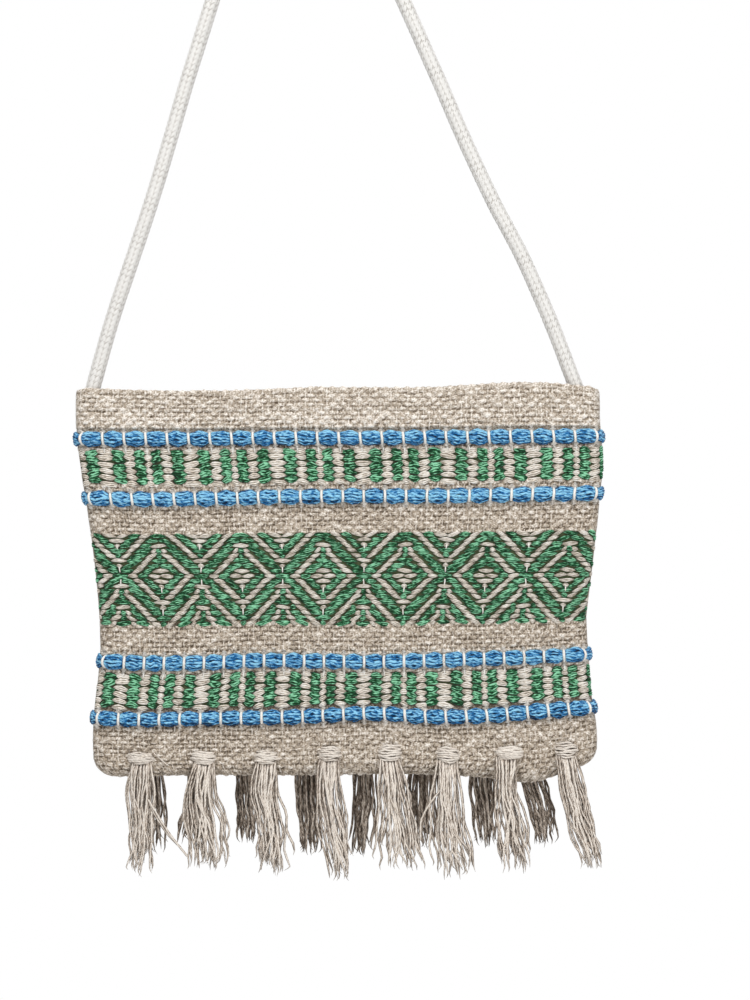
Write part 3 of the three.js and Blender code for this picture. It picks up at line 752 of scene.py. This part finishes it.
def cloth_panel():
    """One woven panel as a closed shell. Its outer face carries the weave, rolls over at the mouth as a
    half circle and runs down inside. The inner face is the outer one drawn in towards the bag's middle
    plane. Both end in the same line at the side edges and at the foot."""
    low, high = FIRST_TIE * WARPS_PER_TIE, LAST_TIE * WARPS_PER_TIE
    warps = np.arange(math.ceil(low), math.floor(high) + 1)
    warp = (warps[:, None] + WARP_POINTS).ravel()
    warp = np.concatenate([[low], warp[(warp > low + 0.02) & (warp < high - 0.02)], [high]])
    across = (warp - low) / (high - low)

    roll = (1 - INNER_SHARE) * CLOTH_HALF / 2
    pick, plain = cloth_rows()
    depth = pick * PICK
    keep = (depth > roll) & (depth < BAG_DEPTH - 0.2 * MM)
    pick, depth, plain = pick[keep], depth[keep], plain[keep, None]

    picks, warps_at = np.meshgrid(pick, warp, indexing="ij")
    wander = (0.12 * ripple(warps_at * 0.31, picks * 0.43, 2.0)
              + 0.08 * ripple(warps_at * 1.3, picks * 0.9, 5.0))
    edge = np.clip(np.minimum(warps_at - low, high - warps_at) / 1.5, 0, 1)
    height, relief, shows, shade = weave(warps_at, picks)
    height = np.where(plain, height, BAND_GROUND)
    # Painted shade on the bare ground: darker near a roving, the dark ground colour under the pattern.
    near_roving = np.abs(depth[:, None] - ROVING_DEPTHS).min(axis=1)[:, None] < ROVING_REACH
    relief = np.where(plain, relief, np.where(near_roving, ROVING_GROUND_PAINTED_SHADE, PATTERN_GROUND_PAINTED_SHADE))
    hem = HEM_RISE / (1 + np.exp((depth - HEM_DEPTH) / (0.8 * MM)))
    crease = -HEM_CREASE * np.exp(-((depth - HEM_DEPTH - 0.6 * MM) / (1.2 * MM)) ** 2)
    lift = (hem + crease)[:, None] + height
    uneven = UNEVENNESS * ripple(warps_at * 0.37, picks * 0.31, 7.0) * edge
    shares = across[None] + wander * edge / (high - low)
    outer = on_cloth(shares, depth[:, None] + uneven, lift * (0.25 + 0.75 * edge))

    top = on_cloth(across, roll, 0.0)
    angle = np.pi * np.arange(RIM_ROWS, 0, -1) / (RIM_ROWS + 1)
    half = top[:, 1] * (1 - INNER_SHARE) / 2
    middle = top[:, 1] - half
    rim_warps, rim_angle = np.meshgrid(warp, angle, indexing="xy")
    rim_height, rim_relief, rim_shows, rim_shade = weave(rim_warps, -rim_angle * roll / PICK)
    reach = half + (0.5 * MM + rim_height) * np.clip(half / roll, 0, 1)
    rim = np.stack([
        np.broadcast_to(top[:, 0], rim_angle.shape),
        middle + reach * np.cos(rim_angle),
        top[:, 2] + reach * np.sin(rim_angle),
    ], axis=-1)

    inner_depth = np.linspace(BAG_DEPTH - INNER_END, roll, INNER_ROWS)
    inner = on_cloth(across, inner_depth[:, None], 0.0)
    inner[..., 1] = SEAM_GAP + (inner[..., 1] - SEAM_GAP) * INNER_SHARE
    foot = on_cloth(across, np.array([[BAG_DEPTH]]), 0.0)

    rows = np.concatenate([inner, rim, outer, foot])
    count, wide = rows.shape[:2]
    index = np.arange(count * wide).reshape(count, wide)
    above, below = index, np.roll(index, -1, axis=0)
    quads = np.stack([above[:, :-1], above[:, 1:], below[:, 1:], below[:, :-1]], axis=-1).reshape(-1, 4)

    inside = len(inner_depth)
    outer_line = np.arange(inside - 1, count)
    outer_depth = np.concatenate([[0], np.linspace(0.1, 0.9, len(angle)) * roll, depth, [BAG_DEPTH]])
    inner_line = np.concatenate([np.arange(inside - 1, -1, -1), [count - 1]])
    inner_line_depth = np.concatenate([[0], inner_depth[-2::-1], [BAG_DEPTH]])
    tris = np.concatenate([
        zip_side(index[outer_line, 0], outer_depth, index[inner_line, 0], inner_line_depth, False),
        zip_side(index[outer_line, -1], outer_depth, index[inner_line, -1], inner_line_depth, True),
    ])

    def over_shell(inside_value, rim_values, outer_values):
        return np.concatenate([np.full((inside, wide), inside_value), rim_values, outer_values,
                               np.full((1, wide), inside_value)]).ravel()

    pale = TOP_BAND_LIGHT / (1 + np.exp((depth - TOP_BAND_END) / (1.5 * MM)))[:, None]
    points = rows.reshape(-1, 3)
    return {
        "points": points,
        "quads": quads,
        "tris": tris,
        "quad_map": points[quads][..., [0, 2]],
        "tri_map": points[tris][..., [0, 2]],
        "shade": over_shell(0.5, rim_shade + TOP_BAND_LIGHT, shade + pale),
        "relief": over_shell(0.4, rim_relief, relief),
        "warp": over_shell(0.0, rim_shows, shows),
    }


def roving_row(depth, sizes, seed):
    """One row of roving: strands laid round half an ellipse over a core. From the middle between
    two ties, where it is fullest, the ellipse shrinks towards them as a power curve. Each strand wavers
    a little on its way, and swings to one side and back between two ties. The lower strands keep less of
    their relief, a painted shade from the ones above them."""
    tie = np.concatenate([FIRST_TIE + EDGE_RINGS, (TIES[:-1, None] + STEP_RINGS).ravel(),
                          TIES[-1] + STEP_RINGS[:3], LAST_TIE - EDGE_RINGS[::-1]])[None]
    near = 1 - 2 * np.abs(tie - np.round(tie))
    pinch = 1 - 0.48 * near ** 1.9 - 0.12 * near ** 8
    edge = np.minimum(tie - FIRST_TIE, LAST_TIE - tie)
    flat = 1 - 0.6 * np.exp(-(edge / 0.16) ** 2)
    bead = np.floor(tie)
    between = np.sin(2 * np.pi * (tie - bead))
    number = np.arange(ROVING_STRANDS)[:, None]
    swing = 0.16 * (chance(bead, seed, 6.0) - 0.5) * between
    turn = np.radians(-78 + 26 * number) + 0.10 * ripple(tie * 2.1, number * 3.7, seed) + swing
    strand = sizes.roving_strand / 2
    bulk = 1 + 0.07 * (chance(bead, seed, 2.0) - 0.5) * (1 - near)
    tall = (sizes.roving_height / 2 - strand) * pinch * bulk
    rise = (sizes.roving_rise - strand) * pinch * flat * (1 + 0.06 * ripple(tie, 0 * tie, seed))
    wave = 0.3 * MM * np.sin(2 * np.pi * (tie * 1.7 + chance(number, 0 * number, seed)))
    drop = depth - tall * np.sin(turn) + wave * (1 - near ** 3)
    lift = rise * np.cos(turn) + 0.35 * MM + 0.2 * MM * ripple(tie * 3.1, number * 5.3, seed)
    paths = on_cloth(at_tie(tie), drop, lift)
    radius = strand * (0.8 + 0.2 * pinch) * (1 + 0.08 * ripple(tie * 4.3, number * 2.9, seed)) + 0 * drop
    outward = np.stack([0 * turn, np.cos(turn) + 0.15, np.sin(turn)], axis=-1)
    strands = tubes(paths, radius, 6, outward, chance(number[:, 0], 1.0, seed))
    # Painted shade: the lower strands keep less of their relief, so their colour is darker.
    points = len(strands["relief"]) // ROVING_STRANDS
    strands["relief"] *= np.repeat(STRAND_PAINTED_SHADE, points)
    core_turn = np.radians(60 * np.arange(6))
    core_tall = (sizes.roving_height / 2 - strand) * pinch[0]
    core_rise = (sizes.roving_rise - strand) * pinch[0] * flat[0]
    rings = on_cloth(at_tie(tie[0])[:, None], depth - core_tall[:, None] * np.sin(core_turn),
                     0.55 * core_rise[:, None] * (1 + 0.8 * np.cos(core_turn)))[None]
    ends = on_cloth(at_tie(tie[0][[0, -1]]), depth, 0.25 * sizes.roving_rise)
    core = body(rings, ends[:1], ends[1:], (tie - FIRST_TIE) * tie_step(depth), np.array([0.1]), 0.0)
    return gather([strands, core])


def tie_threads(sizes):
    """The threads that tie the rovings down: each arches over the row as half an ellipse."""
    tie, depth = (v.ravel() for v in np.meshgrid(np.clip(TIES, 1.1, 24.9), ROVING_DEPTHS))
    turn = np.radians(np.linspace(-96, 96, 9))[None]
    bend = 0.03 * (chance(tie, depth * 1000) - 0.5)[:, None]
    paths = on_cloth(at_tie(tie[:, None] + bend * np.cos(turn * 1.6)),
                     depth[:, None] - TIE_HALF_HEIGHT * np.sin(turn),
                     (sizes.roving_rise * 0.70 + 0.45 * MM) * np.cos(turn) + 0.3 * MM)
    radius = np.full(paths.shape[:2], sizes.tie_thread / 2)
    return tubes(paths, radius, 6, (1, 0, 0), chance(tie, depth * 1000, 3.0), crest=90)


def tie_fans():
    """The tie's fan: cream wefts above and below each tie, a wide float with a narrow one beyond it."""
    tie, depth, way, narrow = (v.ravel() for v in np.meshgrid(TIES, ROVING_DEPTHS, [-1, 1], [0, 1]))
    return floats(tie, depth + way * (3.7 + 1.5 * narrow) * MM, (2.2 - 1.0 * narrow) * MM,
                  (0.95 - 0.15 * narrow) * MM, 0.0, 2.1 * MM, 1.8, 11.0)


def floats(tie, depth, half_length, half_height, slope, rise, blunt, seed):
    """Wefts that float over a few warps. Each is a closed grain: its width falls off towards both ends
    as a power curve, which is fuller with a higher `blunt`, and its section has three crowns with grooves
    between them, for strands side by side. It follows the cloth, dips in at both ends and leans by
    `slope`."""
    tie, depth, half_length, half_height, slope = (
        v[:, None, None] for v in np.broadcast_arrays(tie, depth, half_length, half_height, slope))
    number = np.arange(len(tie))[:, None, None]
    lean = slope + 0.12 * (chance(number, 1.0, seed) - 0.5)
    size = 1 + 0.18 * (chance(number, 2.0, seed) - 0.5)
    step = FLOAT_RINGS[:, None]
    full = (1 - np.abs(step) ** blunt) ** 0.8
    groove = 0.5 + 0.3 * chance(number, 3.0, seed)
    section_up = SECTION_CROWNS + SECTION_GROOVES * groove
    x = half_length * size * step
    twist = 0.2 * half_height * np.sin(2.6 * step + 6.28 * chance(number, 4.0, seed))
    drop = depth + lean * x + half_height * size * full * SECTION_ACROSS + twist
    lift = (rise * (0.55 * full + 0.45) * (section_up * full * 0.8 + 0.2) - 0.5 * MM * (1 - full)
            + 0.3 * MM * (chance(number, 5.0, seed) - 0.5))
    pitch = tie_step(depth)
    rings = on_cloth(np.clip(at_tie(tie + x / pitch), 0, 1), drop, lift)
    way = np.array([[[-1, 1]]])
    ends = on_cloth(np.clip(at_tie(tie + way * half_length * size / pitch), 0, 1),
                    depth + lean * half_length * size * way, -0.75 * MM)[:, 0]
    along = (half_length * (1 + step))[..., 0] + 0.02 * chance(number, 6.0, seed)[..., 0]
    # Painted shade and highlight: light on the three crowns, dark in the grooves, and darker towards the
    # ends, where the float dips into the cloth.
    relief = np.clip(SECTION_CROWNS, 0, 1) * (0.35 + 0.65 * full)
    return body(rings, ends[:, 0], ends[:, 1], along, chance(number[:, 0, 0], 7.0, seed), relief)


def bar_floats(band, columns, rows, half_height, blunt, sizes, seed):
    """Floats of one colour in a band of bars: the repeat's columns across the bag, one float a row. A
    column that runs over a side edge is cut to what fits."""
    repeats = 4 * np.arange(-1, 7)
    middle = np.concatenate([repeats + offset for offset, _ in columns])
    width = np.concatenate([np.full(len(repeats), w) for _, w in columns])
    low = np.maximum(middle - width / 2, FIRST_TIE + 0.02)
    high = np.minimum(middle + width / 2, LAST_TIE - 0.02)
    keep = high - low > 0.1
    middle, width = (low + high)[keep] / 2, (high - low)[keep]
    number = np.arange(len(middle))
    tie = np.repeat(middle, len(rows))
    number, width = np.repeat(number, len(rows)), np.repeat(width, len(rows))
    drop = band + np.tile(rows, len(middle)) + 0.3 * MM * (chance(number, 1.0, seed) - 0.5)
    half = width / 2 * tie_step(band) * 1.22
    slope = 0.10 * (number % 2 * 2 - 1)
    return floats(tie, drop, half, half_height, slope, sizes.float_rise, blunt, seed)


def diamond_runs():
    """The pattern's floats in one repeat of sixteen cells: for each row the stretches of cells whose
    distance from the dot, counted along rows and columns, has one colour. A stretch leans the way in
    which it moves from row to row."""
    runs = {"green": [], "beige": []}
    for row in DIAMOND_ROWS:
        names = []
        for cell in range(-8, 8):
            distance = abs(cell) + abs(row)
            beige = distance in BEIGE_RINGS or (row == -8 and distance == 16)
            if (row == -2 and cell == 0) or (row == 9 and distance == 14) or (row, abs(cell)) in CAPS_GREEN:
                beige = False
            if (row, abs(cell)) in CAPS_BEIGE:
                beige = True
            names.append("beige" if beige else "green")
        starts = [c for c in range(16) if names[c] != names[c - 1]]
        for start in starts:
            long = 1
            while names[(start + long) % 16] == names[start] and long < 16:
                long += 1
            parts = 2 if long >= 5 else 1
            for part in range(parts):
                cells = long / parts
                middle = start - 8 + cells * (part + 0.5) - 0.5
                middle = (middle + 8) % 16 - 8
                central = min(abs(middle), 8 - abs(middle)) < 0.4
                way = 0 if central or row == 0 else math.copysign(1, middle) * (1 if row < 0 else -1)
                if parts == 2 and min(abs(middle), 8 - abs(middle)) < 2:
                    way *= 0.6
                runs[names[start]].append((row, middle, cells, way))
    return runs


def diamond_floats(runs, half_height, blunt, lean, sizes, seed):
    """The floats of one colour over the whole band of diamonds. A float that runs over a side edge is cut
    to what fits."""
    row, middle, cells, way = (np.array(v, dtype=float) for v in zip(*runs))
    repeats = 4 * np.arange(0, 8)
    tie = (repeats[:, None] + middle / WARPS_PER_TIE).ravel()
    row, cells, way = (np.tile(v, len(repeats)) for v in (row, cells, way))
    cell = tie_step(DIAMOND_DEPTH) / WARPS_PER_TIE
    half = cells * cell / 2 * 1.08 + 0.45 * MM
    reach = half / tie_step(DIAMOND_DEPTH)
    low, high = np.maximum(tie - reach, FIRST_TIE + 0.02), np.minimum(tie + reach, LAST_TIE - 0.02)
    keep = high - low > 0.12
    tie, half = (low + high)[keep] / 2, (high - low)[keep] / 2 * tie_step(DIAMOND_DEPTH)
    return floats(tie, DIAMOND_DEPTH + row[keep] * CELL_HEIGHT, half, half_height, lean * way[keep],
                  sizes.float_rise, blunt, seed)


def warp_ticks():
    """Short upright stretches of cream warp, each a thread that bulges off the cloth as a cosine."""
    tie = np.concatenate([ties for ties, _, _ in TICK_ROWS])
    depth, tall = (np.concatenate([np.full(len(row[0]), row[n]) for row in TICK_ROWS]) * MM for n in (1, 2))
    step = np.linspace(-0.5, 0.5, 5)[None]
    bend = 0.04 * (chance(tie, depth * 1000) - 0.5)[:, None]
    path = on_cloth(at_tie(tie[:, None] + bend * step * 2), depth[:, None] + tall[:, None] * step,
                    MM * (0.2 + 1.5 * np.cos(np.pi * step * 0.8)))
    radius = np.full(path.shape[:2], TICK_RADIUS)
    return tubes(path, radius, 5, (1, 0, 0), chance(tie, depth * 1000, 2.0), crest=270)


def tassel(row, yarns, yarn, loose, seed):
    """One tassel. The head is a few yarns that arch side by side across the cloth and draw together at
    both ends. The yarns of the skirt come out from under it. Each keeps its place in a flat ellipse
    whose two ends follow the skirt's edges, smooth curves through the given places. On the way down it
    is drawn towards the middle of its clump and takes on slow waves, and a few yarns cross over to the
    other side. `loose` scales all of these."""
    rng = np.random.default_rng(seed)
    x, depth, width, height, fall, *edges = (v * MM for v in row)
    left, right = side_edges(np.array([depth]))
    place = on_cloth((x - left) / (right - left), depth, 0.0)[0]
    z = MOUTH_Z - depth
    face = place[1] + 0.5 * MM
    rows, thick = HEAD_YARNS, HEAD_YARN_RADIUS
    turn = np.linspace(-1, 1, 10)[None]
    share = np.linspace(-1, 1, rows)[:, None]
    half = (width / 2 - thick) * (1 - 0.18 * share ** 2) * (1 + 0.04 * rng.normal(size=(rows, 1)))
    level = share * (height / 2 - thick)
    head_path = np.stack([
        x + half * np.sin(turn * 1.35) / math.sin(1.35) + 0.25 * MM * rng.normal(size=(rows, 1)),
        face - 0.9 * MM + (4.6 * MM - 0.9 * MM * share ** 2) * np.cos(turn * 1.45),
        z + level * (0.7 + 0.3 * np.cos(turn * 1.5)) + 0.3 * MM * rng.normal(size=(rows, 1)) * turn
        + 0.24 * MM * np.sin(5 * turn + 6.28 * rng.random((rows, 1))),
    ], axis=-1)
    head = tubes(head_path, np.full(head_path.shape[:2], thick), 6, (0, 0, 1), 0.55 + 0.6 * rng.random(rows),
                 crest=270)

    step = np.linspace(0, 1, 14)[None]
    ring = np.sqrt((np.arange(yarns) + 0.5) / yarns)[:, None]
    angle = (np.arange(yarns) * GOLDEN_TURN)[:, None]
    u, v = ring * np.cos(angle), ring * np.sin(angle)
    clump = np.clip(((u + 1) * 2.5 + 0.5 * rng.normal(size=(yarns, 1))).astype(int), 0, 4)
    drift = (0.13 * rng.normal(size=5))[clump]
    u = u + loose * (0.4 * ((clump + 0.5) / 2.5 - 1 - u) + drift) * step ** 2
    crossing = rng.random((yarns, 1)) < 0.16 * loose
    u = np.where(crossing, u * (1 - 1.8 * step), u)
    v = np.where(crossing, 0.85, v)
    skirt_left, skirt_right = (along_curve(np.array(side), 3 * step) for side in (edges[0::2], edges[1::2]))
    middle, half_wide = (skirt_left + skirt_right) / 2, (skirt_right - skirt_left) / 2 * (1 + 0.1 * step)
    forward = np.clip(step / 0.14, 0, 1)
    half_deep = (0.4 + 2.1 * forward - 0.5 * step) * MM
    drop = fall * (1 - (0.06 + 0.16 * loose) * rng.random((yarns, 1)) ** 1.5)
    waves = [loose * size * MM * np.sin(2 * np.pi * (step * (first + 1.5 * rng.random((yarns, 1)))
                                                     + rng.random((yarns, 1))))
             for size, first in ((0.9, 1.1), (0.5, 2.2))]
    fly = loose * rng.normal(size=(yarns, 1)) * 0.6 * MM
    path_x = x + middle + u * half_wide + (waves[0] + waves[1]) * (0.15 + step) + fly * step ** 2
    path_y = face + (0.6 + 1.8 * forward) * MM + v * half_deep + 0.6 * waves[0] * step
    path_y = np.maximum(path_y, face + 0.3 * MM * (1 - step))
    top = height / 2 - 1.2 * MM
    path_z = z - top - (drop - top) * step
    thin = 1 + 0.12 * rng.normal(size=(yarns, 1))
    paths = np.stack([path_x, path_y, path_z], axis=-1)
    radius = yarn / 2 * thin * np.where(step > 0.97, 0.6, 1.0)
    # Painted shade: yarns deep inside the skirt are darker than those on its outside, with a random tone on
    # top.
    shade = 0.2 + 0.6 * np.abs(v[:, -1]) + 0.5 * (rng.random(yarns) - 0.5)
    skirt = tubes(paths, radius, 5, (0, 1, 0), shade, opposite=FAR_CROWN)
    reach = np.linspace(0, 1, 4)[None]
    way = rng.normal(size=(yarns, 1, 3)) * np.array([1.1, 0.7, 0.5]) * MM
    reach_3d = reach[..., None]
    fray = paths[:, -1:] + way * reach_3d ** 1.5 - np.array([0, 0, FRAY_LENGTH]) * reach_3d
    frays = tubes(fray, FRAY_RADIUS * (1.15 - reach) + 0 * fray[..., 0], 4, (0, 1, 0), rng.random(yarns),
                  opposite=FAR_CROWN)
    return gather([head, skirt, frays])


def loose_yarns(yarn):
    """Yarns that have slipped out of the front tassels, each along a smooth curve through given points."""
    place = np.linspace(0, 3, 13)
    paths = np.stack([np.stack([along_curve(line, place) for line in route.T], axis=-1)
                      for route in LOOSE_ROUTES])
    radius = np.full(paths.shape[:2], yarn / 2)
    radius[-1] *= 0.6
    return tubes(paths, radius, 5, (0, 1, 0), np.array([0.7, 0.4, 0.6, 0.9]))


def rope(diameter):
    """The strap as a tube whose radius is that of a braid. Round it stand columns, and each is a row of V
    stitches: the ridge is a sine of the way along the rope, moved on by the distance from the column's
    middle, and it dips between the columns."""
    route = np.array(STRAP_ROUTE)
    fine = np.stack([along_curve(route[:, n], np.linspace(0, len(route) - 1, 1500)) for n in (0, 1)], axis=-1)
    way = np.concatenate([[0], np.cumsum(np.linalg.norm(np.diff(fine, axis=0), axis=1))])
    along = np.linspace(0, way[-1], ROPE_RINGS)
    x, z = (np.interp(along, way, fine[:, n]) for n in (0, 1))
    path = np.stack([x, np.zeros(ROPE_RINGS), z], axis=-1)
    tangent = np.gradient(path, axis=0)
    tangent /= np.linalg.norm(tangent, axis=1, keepdims=True)
    out = np.array([0.0, 1.0, 0.0])
    aside = np.cross(tangent, out)[:, None]
    turn = np.arange(ROPE_POINTS) / ROPE_POINTS
    column = turn * BRAID_COLUMNS
    away = np.abs(column % 1 - 0.5) * 2
    stitches = along[:, None] / STITCH
    ridge = np.abs(np.sin(np.pi * (stitches + 0.55 * away)))
    bright = 0.9 + 0.2 * chance(np.floor(column)[None], np.floor(stitches))
    relief = ridge ** 0.7 * (1 - 0.55 * away ** 3) * bright
    angle = 2 * np.pi * turn
    radius = diameter / 2 * (0.905 + 0.095 * relief) * (1 + 0.012 * ripple(along[:, None] * 60, angle[None]))
    circle = np.cos(angle)[None, :, None] * out + np.sin(angle)[None, :, None] * aside
    part = body((path[:, None] + radius[..., None] * circle)[None], path[:1] - tangent[:1] * MM,
                path[-1:] + tangent[-1:] * MM, along[None], np.array([0.5]), relief[None])
    return part, path


# ---------------------------------------------------------------- operators

class BAG_OT_stage(bpy.types.Operator):
    """Camera, soft studio light, white surroundings and a pale floor far under the bag"""
    bl_idname = "bag.stage"
    bl_label = "Stage"

    def execute(self, context):
        scene = context.scene
        scene.view_settings.view_transform = "Standard"
        camera = bpy.data.cameras.new("camera")
        camera.sensor_fit = "VERTICAL"
        camera.sensor_height = SENSOR
        camera.lens = SENSOR * CAMERA_DISTANCE / FRAME_HEIGHT
        scene.camera = put("camera", camera)
        scene.camera.location = (CAMERA_MIDDLE[0], -CAMERA_DISTANCE - CLOTH_HALF, CAMERA_MIDDLE[1])
        scene.camera.rotation_euler = (math.pi / 2, 0, 0)

        for name, place, size, power in LAMPS:
            light = bpy.data.lights.new(name, "AREA")
            light.shape = "SQUARE"
            light.size = size
            light.energy = power
            lamp = put(name, light)
            lamp.location = place
            x, y, z = np.subtract(LAMP_TARGET, place)
            lamp.rotation_euler = (math.atan2(math.hypot(x, y), -z), 0, math.atan2(-x, y))

        scene.world = bpy.data.worlds.new("studio")
        scene.world.use_nodes = True
        tree = scene.world.node_tree
        background = tree.nodes["Background"].inputs
        background["Color"].default_value = (1, 1, 1, 1)
        strength = calculate(tree, "MULTIPLY_ADD", in_view(tree), 1 - LIGHT_ALL_ROUND, LIGHT_ALL_ROUND)
        tree.links.new(strength, background["Strength"])

        turn = np.linspace(0, 2 * np.pi, FLOOR_SIDES, endpoint=False)
        rim = FLOOR_RADIUS * np.stack([np.cos(turn), np.sin(turn), 0 * turn], axis=-1) + FLOOR_MIDDLE
        mesh = bpy.data.meshes.new("floor")
        mesh.from_pydata(rim.tolist(), [], [list(range(FLOOR_SIDES))])
        material, tree, shader = new_material("pale_floor")
        shader["Base Color"].default_value = (FLOOR_GREY, FLOOR_GREY, FLOOR_GREY, 1)
        shader["Roughness"].default_value = 0.9
        shader["Emission Color"].default_value = (1, 1, 1, 1)
        far = place_node(tree, "VectorMath", {0: object_place(tree)}, operation="LENGTH").outputs["Value"]
        glow = calculate(tree, "MULTIPLY", in_view(tree), ramp(tree, far, *FLOOR_GLOW))
        tree.links.new(glow, shader["Emission Strength"])
        mesh.materials.append(material)
        floor = put("floor", mesh)
        return {"FINISHED"}


class BAG_OT_strap(bpy.types.Operator):
    """Braided rope strap, from one corner of the mouth over the hang point to the other"""
    bl_idname = "bag.strap"
    bl_label = "Rope Strap"

    def execute(self, context):
        sizes, colours = context.scene.bag_sizes, context.scene.bag_colours
        part, path = rope(sizes.strap_diameter)
        finish = rope_finish(colours, sizes.strap_diameter)
        obj = piece("rope_strap", part, 1, finish, ["strap"])
        return {"FINISHED"}


class BAG_OT_cloth(bpy.types.Operator):
    """The two woven cotton panels, with the hem at the mouth"""
    bl_idname = "bag.cloth"
    bl_label = "Woven Panels"

    def execute(self, context):
        finish = cloth_finish(context.scene.bag_colours)
        for name, side in SIDES:
            obj = piece(name + "_cloth", cloth_panel(), side, finish, [name + "_panel"])
        return {"FINISHED"}


class BAG_OT_rovings(bpy.types.Operator):
    """Rows of blue roving, and the cream threads that tie them down"""
    bl_idname = "bag.rovings"
    bl_label = "Blue Rovings"

    def execute(self, context):
        sizes, colours = context.scene.bag_sizes, context.scene.bag_colours
        blue, cream, peak = (yarn_finish(colours, key)
                             for key in ("blue_cotton", "cream_thread", "cream_weft"))
        for name, side in SIDES:
            for i, depth in enumerate(ROVING_DEPTHS):
                part = roving_row(depth, sizes, i + (10 if name == "back" else 0))
                piece(f"roving_strands_{name}_{i + 1}", part, side, blue,
                      [f"blue_roving_{name}_{i + 1}"])
            piece(f"tie_threads_{name}", tie_threads(sizes), side, cream)
            piece(f"tie_fans_{name}", tie_fans(), side, peak)
        return {"FINISHED"}


class BAG_OT_bars(bpy.types.Operator):
    """Bands of green and beige bars"""
    bl_idname = "bag.bars"
    bl_label = "Bars"

    def execute(self, context):
        sizes, colours = context.scene.bag_sizes, context.scene.bag_colours
        green, beige = (yarn_finish(colours, key) for key in ("green_yarn", "beige_yarn"))
        for name, side in SIDES:
            for i, band in enumerate(BAR_BAND_DEPTHS):
                part = bar_floats(band, GREEN_BARS, GREEN_BAR_ROWS, *GREEN_BAR_FLOAT, sizes, 3.0 + i)
                piece(f"green_bar_floats_{name}_{i + 1}", part, side, green,
                      [f"green_bars_{name}_{i + 1}"])
            parts = [bar_floats(band, BEIGE_BARS, BEIGE_BAR_ROWS, *BEIGE_BAR_FLOAT, sizes, 5.0 + i)
                     for i, band in enumerate(BAR_BAND_DEPTHS)]
            piece(f"beige_bar_floats_{name}", gather(parts), side, beige)
        return {"FINISHED"}


class BAG_OT_diamonds(bpy.types.Operator):
    """Band of green and beige diamonds"""
    bl_idname = "bag.diamonds"
    bl_label = "Diamonds"

    def execute(self, context):
        sizes, colours = context.scene.bag_sizes, context.scene.bag_colours
        runs = diamond_runs()
        green, beige, cream = (yarn_finish(colours, key)
                               for key in ("green_yarn", "beige_yarn", "cream_thread"))
        for name, side in SIDES:
            part = diamond_floats(runs["green"], *GREEN_DIAMOND_FLOAT, sizes, 7.0)
            piece(f"green_diamond_floats_{name}", part, side, green, [f"green_diamonds_{name}"])
            part = diamond_floats(runs["beige"], *BEIGE_DIAMOND_FLOAT, sizes, 9.0)
            piece(f"beige_diamond_floats_{name}", part, side, beige)
            piece(f"warp_ticks_{name}", warp_ticks(), side, cream)
        return {"FINISHED"}


class BAG_OT_tassels(bpy.types.Operator):
    """The tassels along the foot, at the front and at the back"""
    bl_idname = "bag.tassels"
    bl_label = "Tassels"

    def execute(self, context):
        sizes, colours = context.scene.bag_sizes, context.scene.bag_colours
        finish = yarn_finish(colours, "fringe_yarn")
        fringes = ((FRONT_TASSELS, sizes.front_yarns, 1.0), (BACK_TASSELS, sizes.back_yarns, 0.7))
        for (name, side), (rows, yarns, loose) in zip(SIDES, fringes):
            for i, row in enumerate(rows):
                part = tassel(row, yarns, sizes.tassel_yarn, loose, 100 * (side + 2) + i)
                if name == "front" and i == 0:
                    part = gather([part, loose_yarns(sizes.tassel_yarn)])
                piece(f"tassel_yarns_{name}_{i + 1}", part, side, finish,
                      [f"tassel_{name}_{i + 1}"])
        return {"FINISHED"}


class BAG_PT_panel(bpy.types.Panel):
    bl_label = "Woven Shoulder Bag"
    bl_idname = "BAG_PT_panel"
    bl_space_type = "VIEW_3D"
    bl_region_type = "UI"
    bl_category = "Bag"

    def draw(self, context):
        for operator in OPERATORS:
            self.layout.operator(operator.bl_idname)
        for settings in (context.scene.bag_sizes, context.scene.bag_colours):
            box = self.layout.box()
            for key in settings.__annotations__:
                box.prop(settings, key)


OPERATORS = (BAG_OT_stage, BAG_OT_strap, BAG_OT_cloth, BAG_OT_rovings, BAG_OT_bars, BAG_OT_diamonds,
             BAG_OT_tassels)
CLASSES = (BagSizes, BagColours, *OPERATORS, BAG_PT_panel)


def register():
    for cls in CLASSES:
        bpy.utils.register_class(cls)
    bpy.types.Scene.bag_sizes = PointerProperty(type=BagSizes)
    bpy.types.Scene.bag_colours = PointerProperty(type=BagColours)


def unregister():
    del bpy.types.Scene.bag_colours
    del bpy.types.Scene.bag_sizes
    for cls in reversed(CLASSES):
        bpy.utils.unregister_class(cls)


def main():
    register()
    bpy.ops.bag.stage()
    bpy.ops.bag.strap()
    bpy.ops.bag.cloth()
    bpy.ops.bag.rovings()
    bpy.ops.bag.bars()
    bpy.ops.bag.diamonds()
    bpy.ops.bag.tassels()


if __name__ == "__main__":
    main()
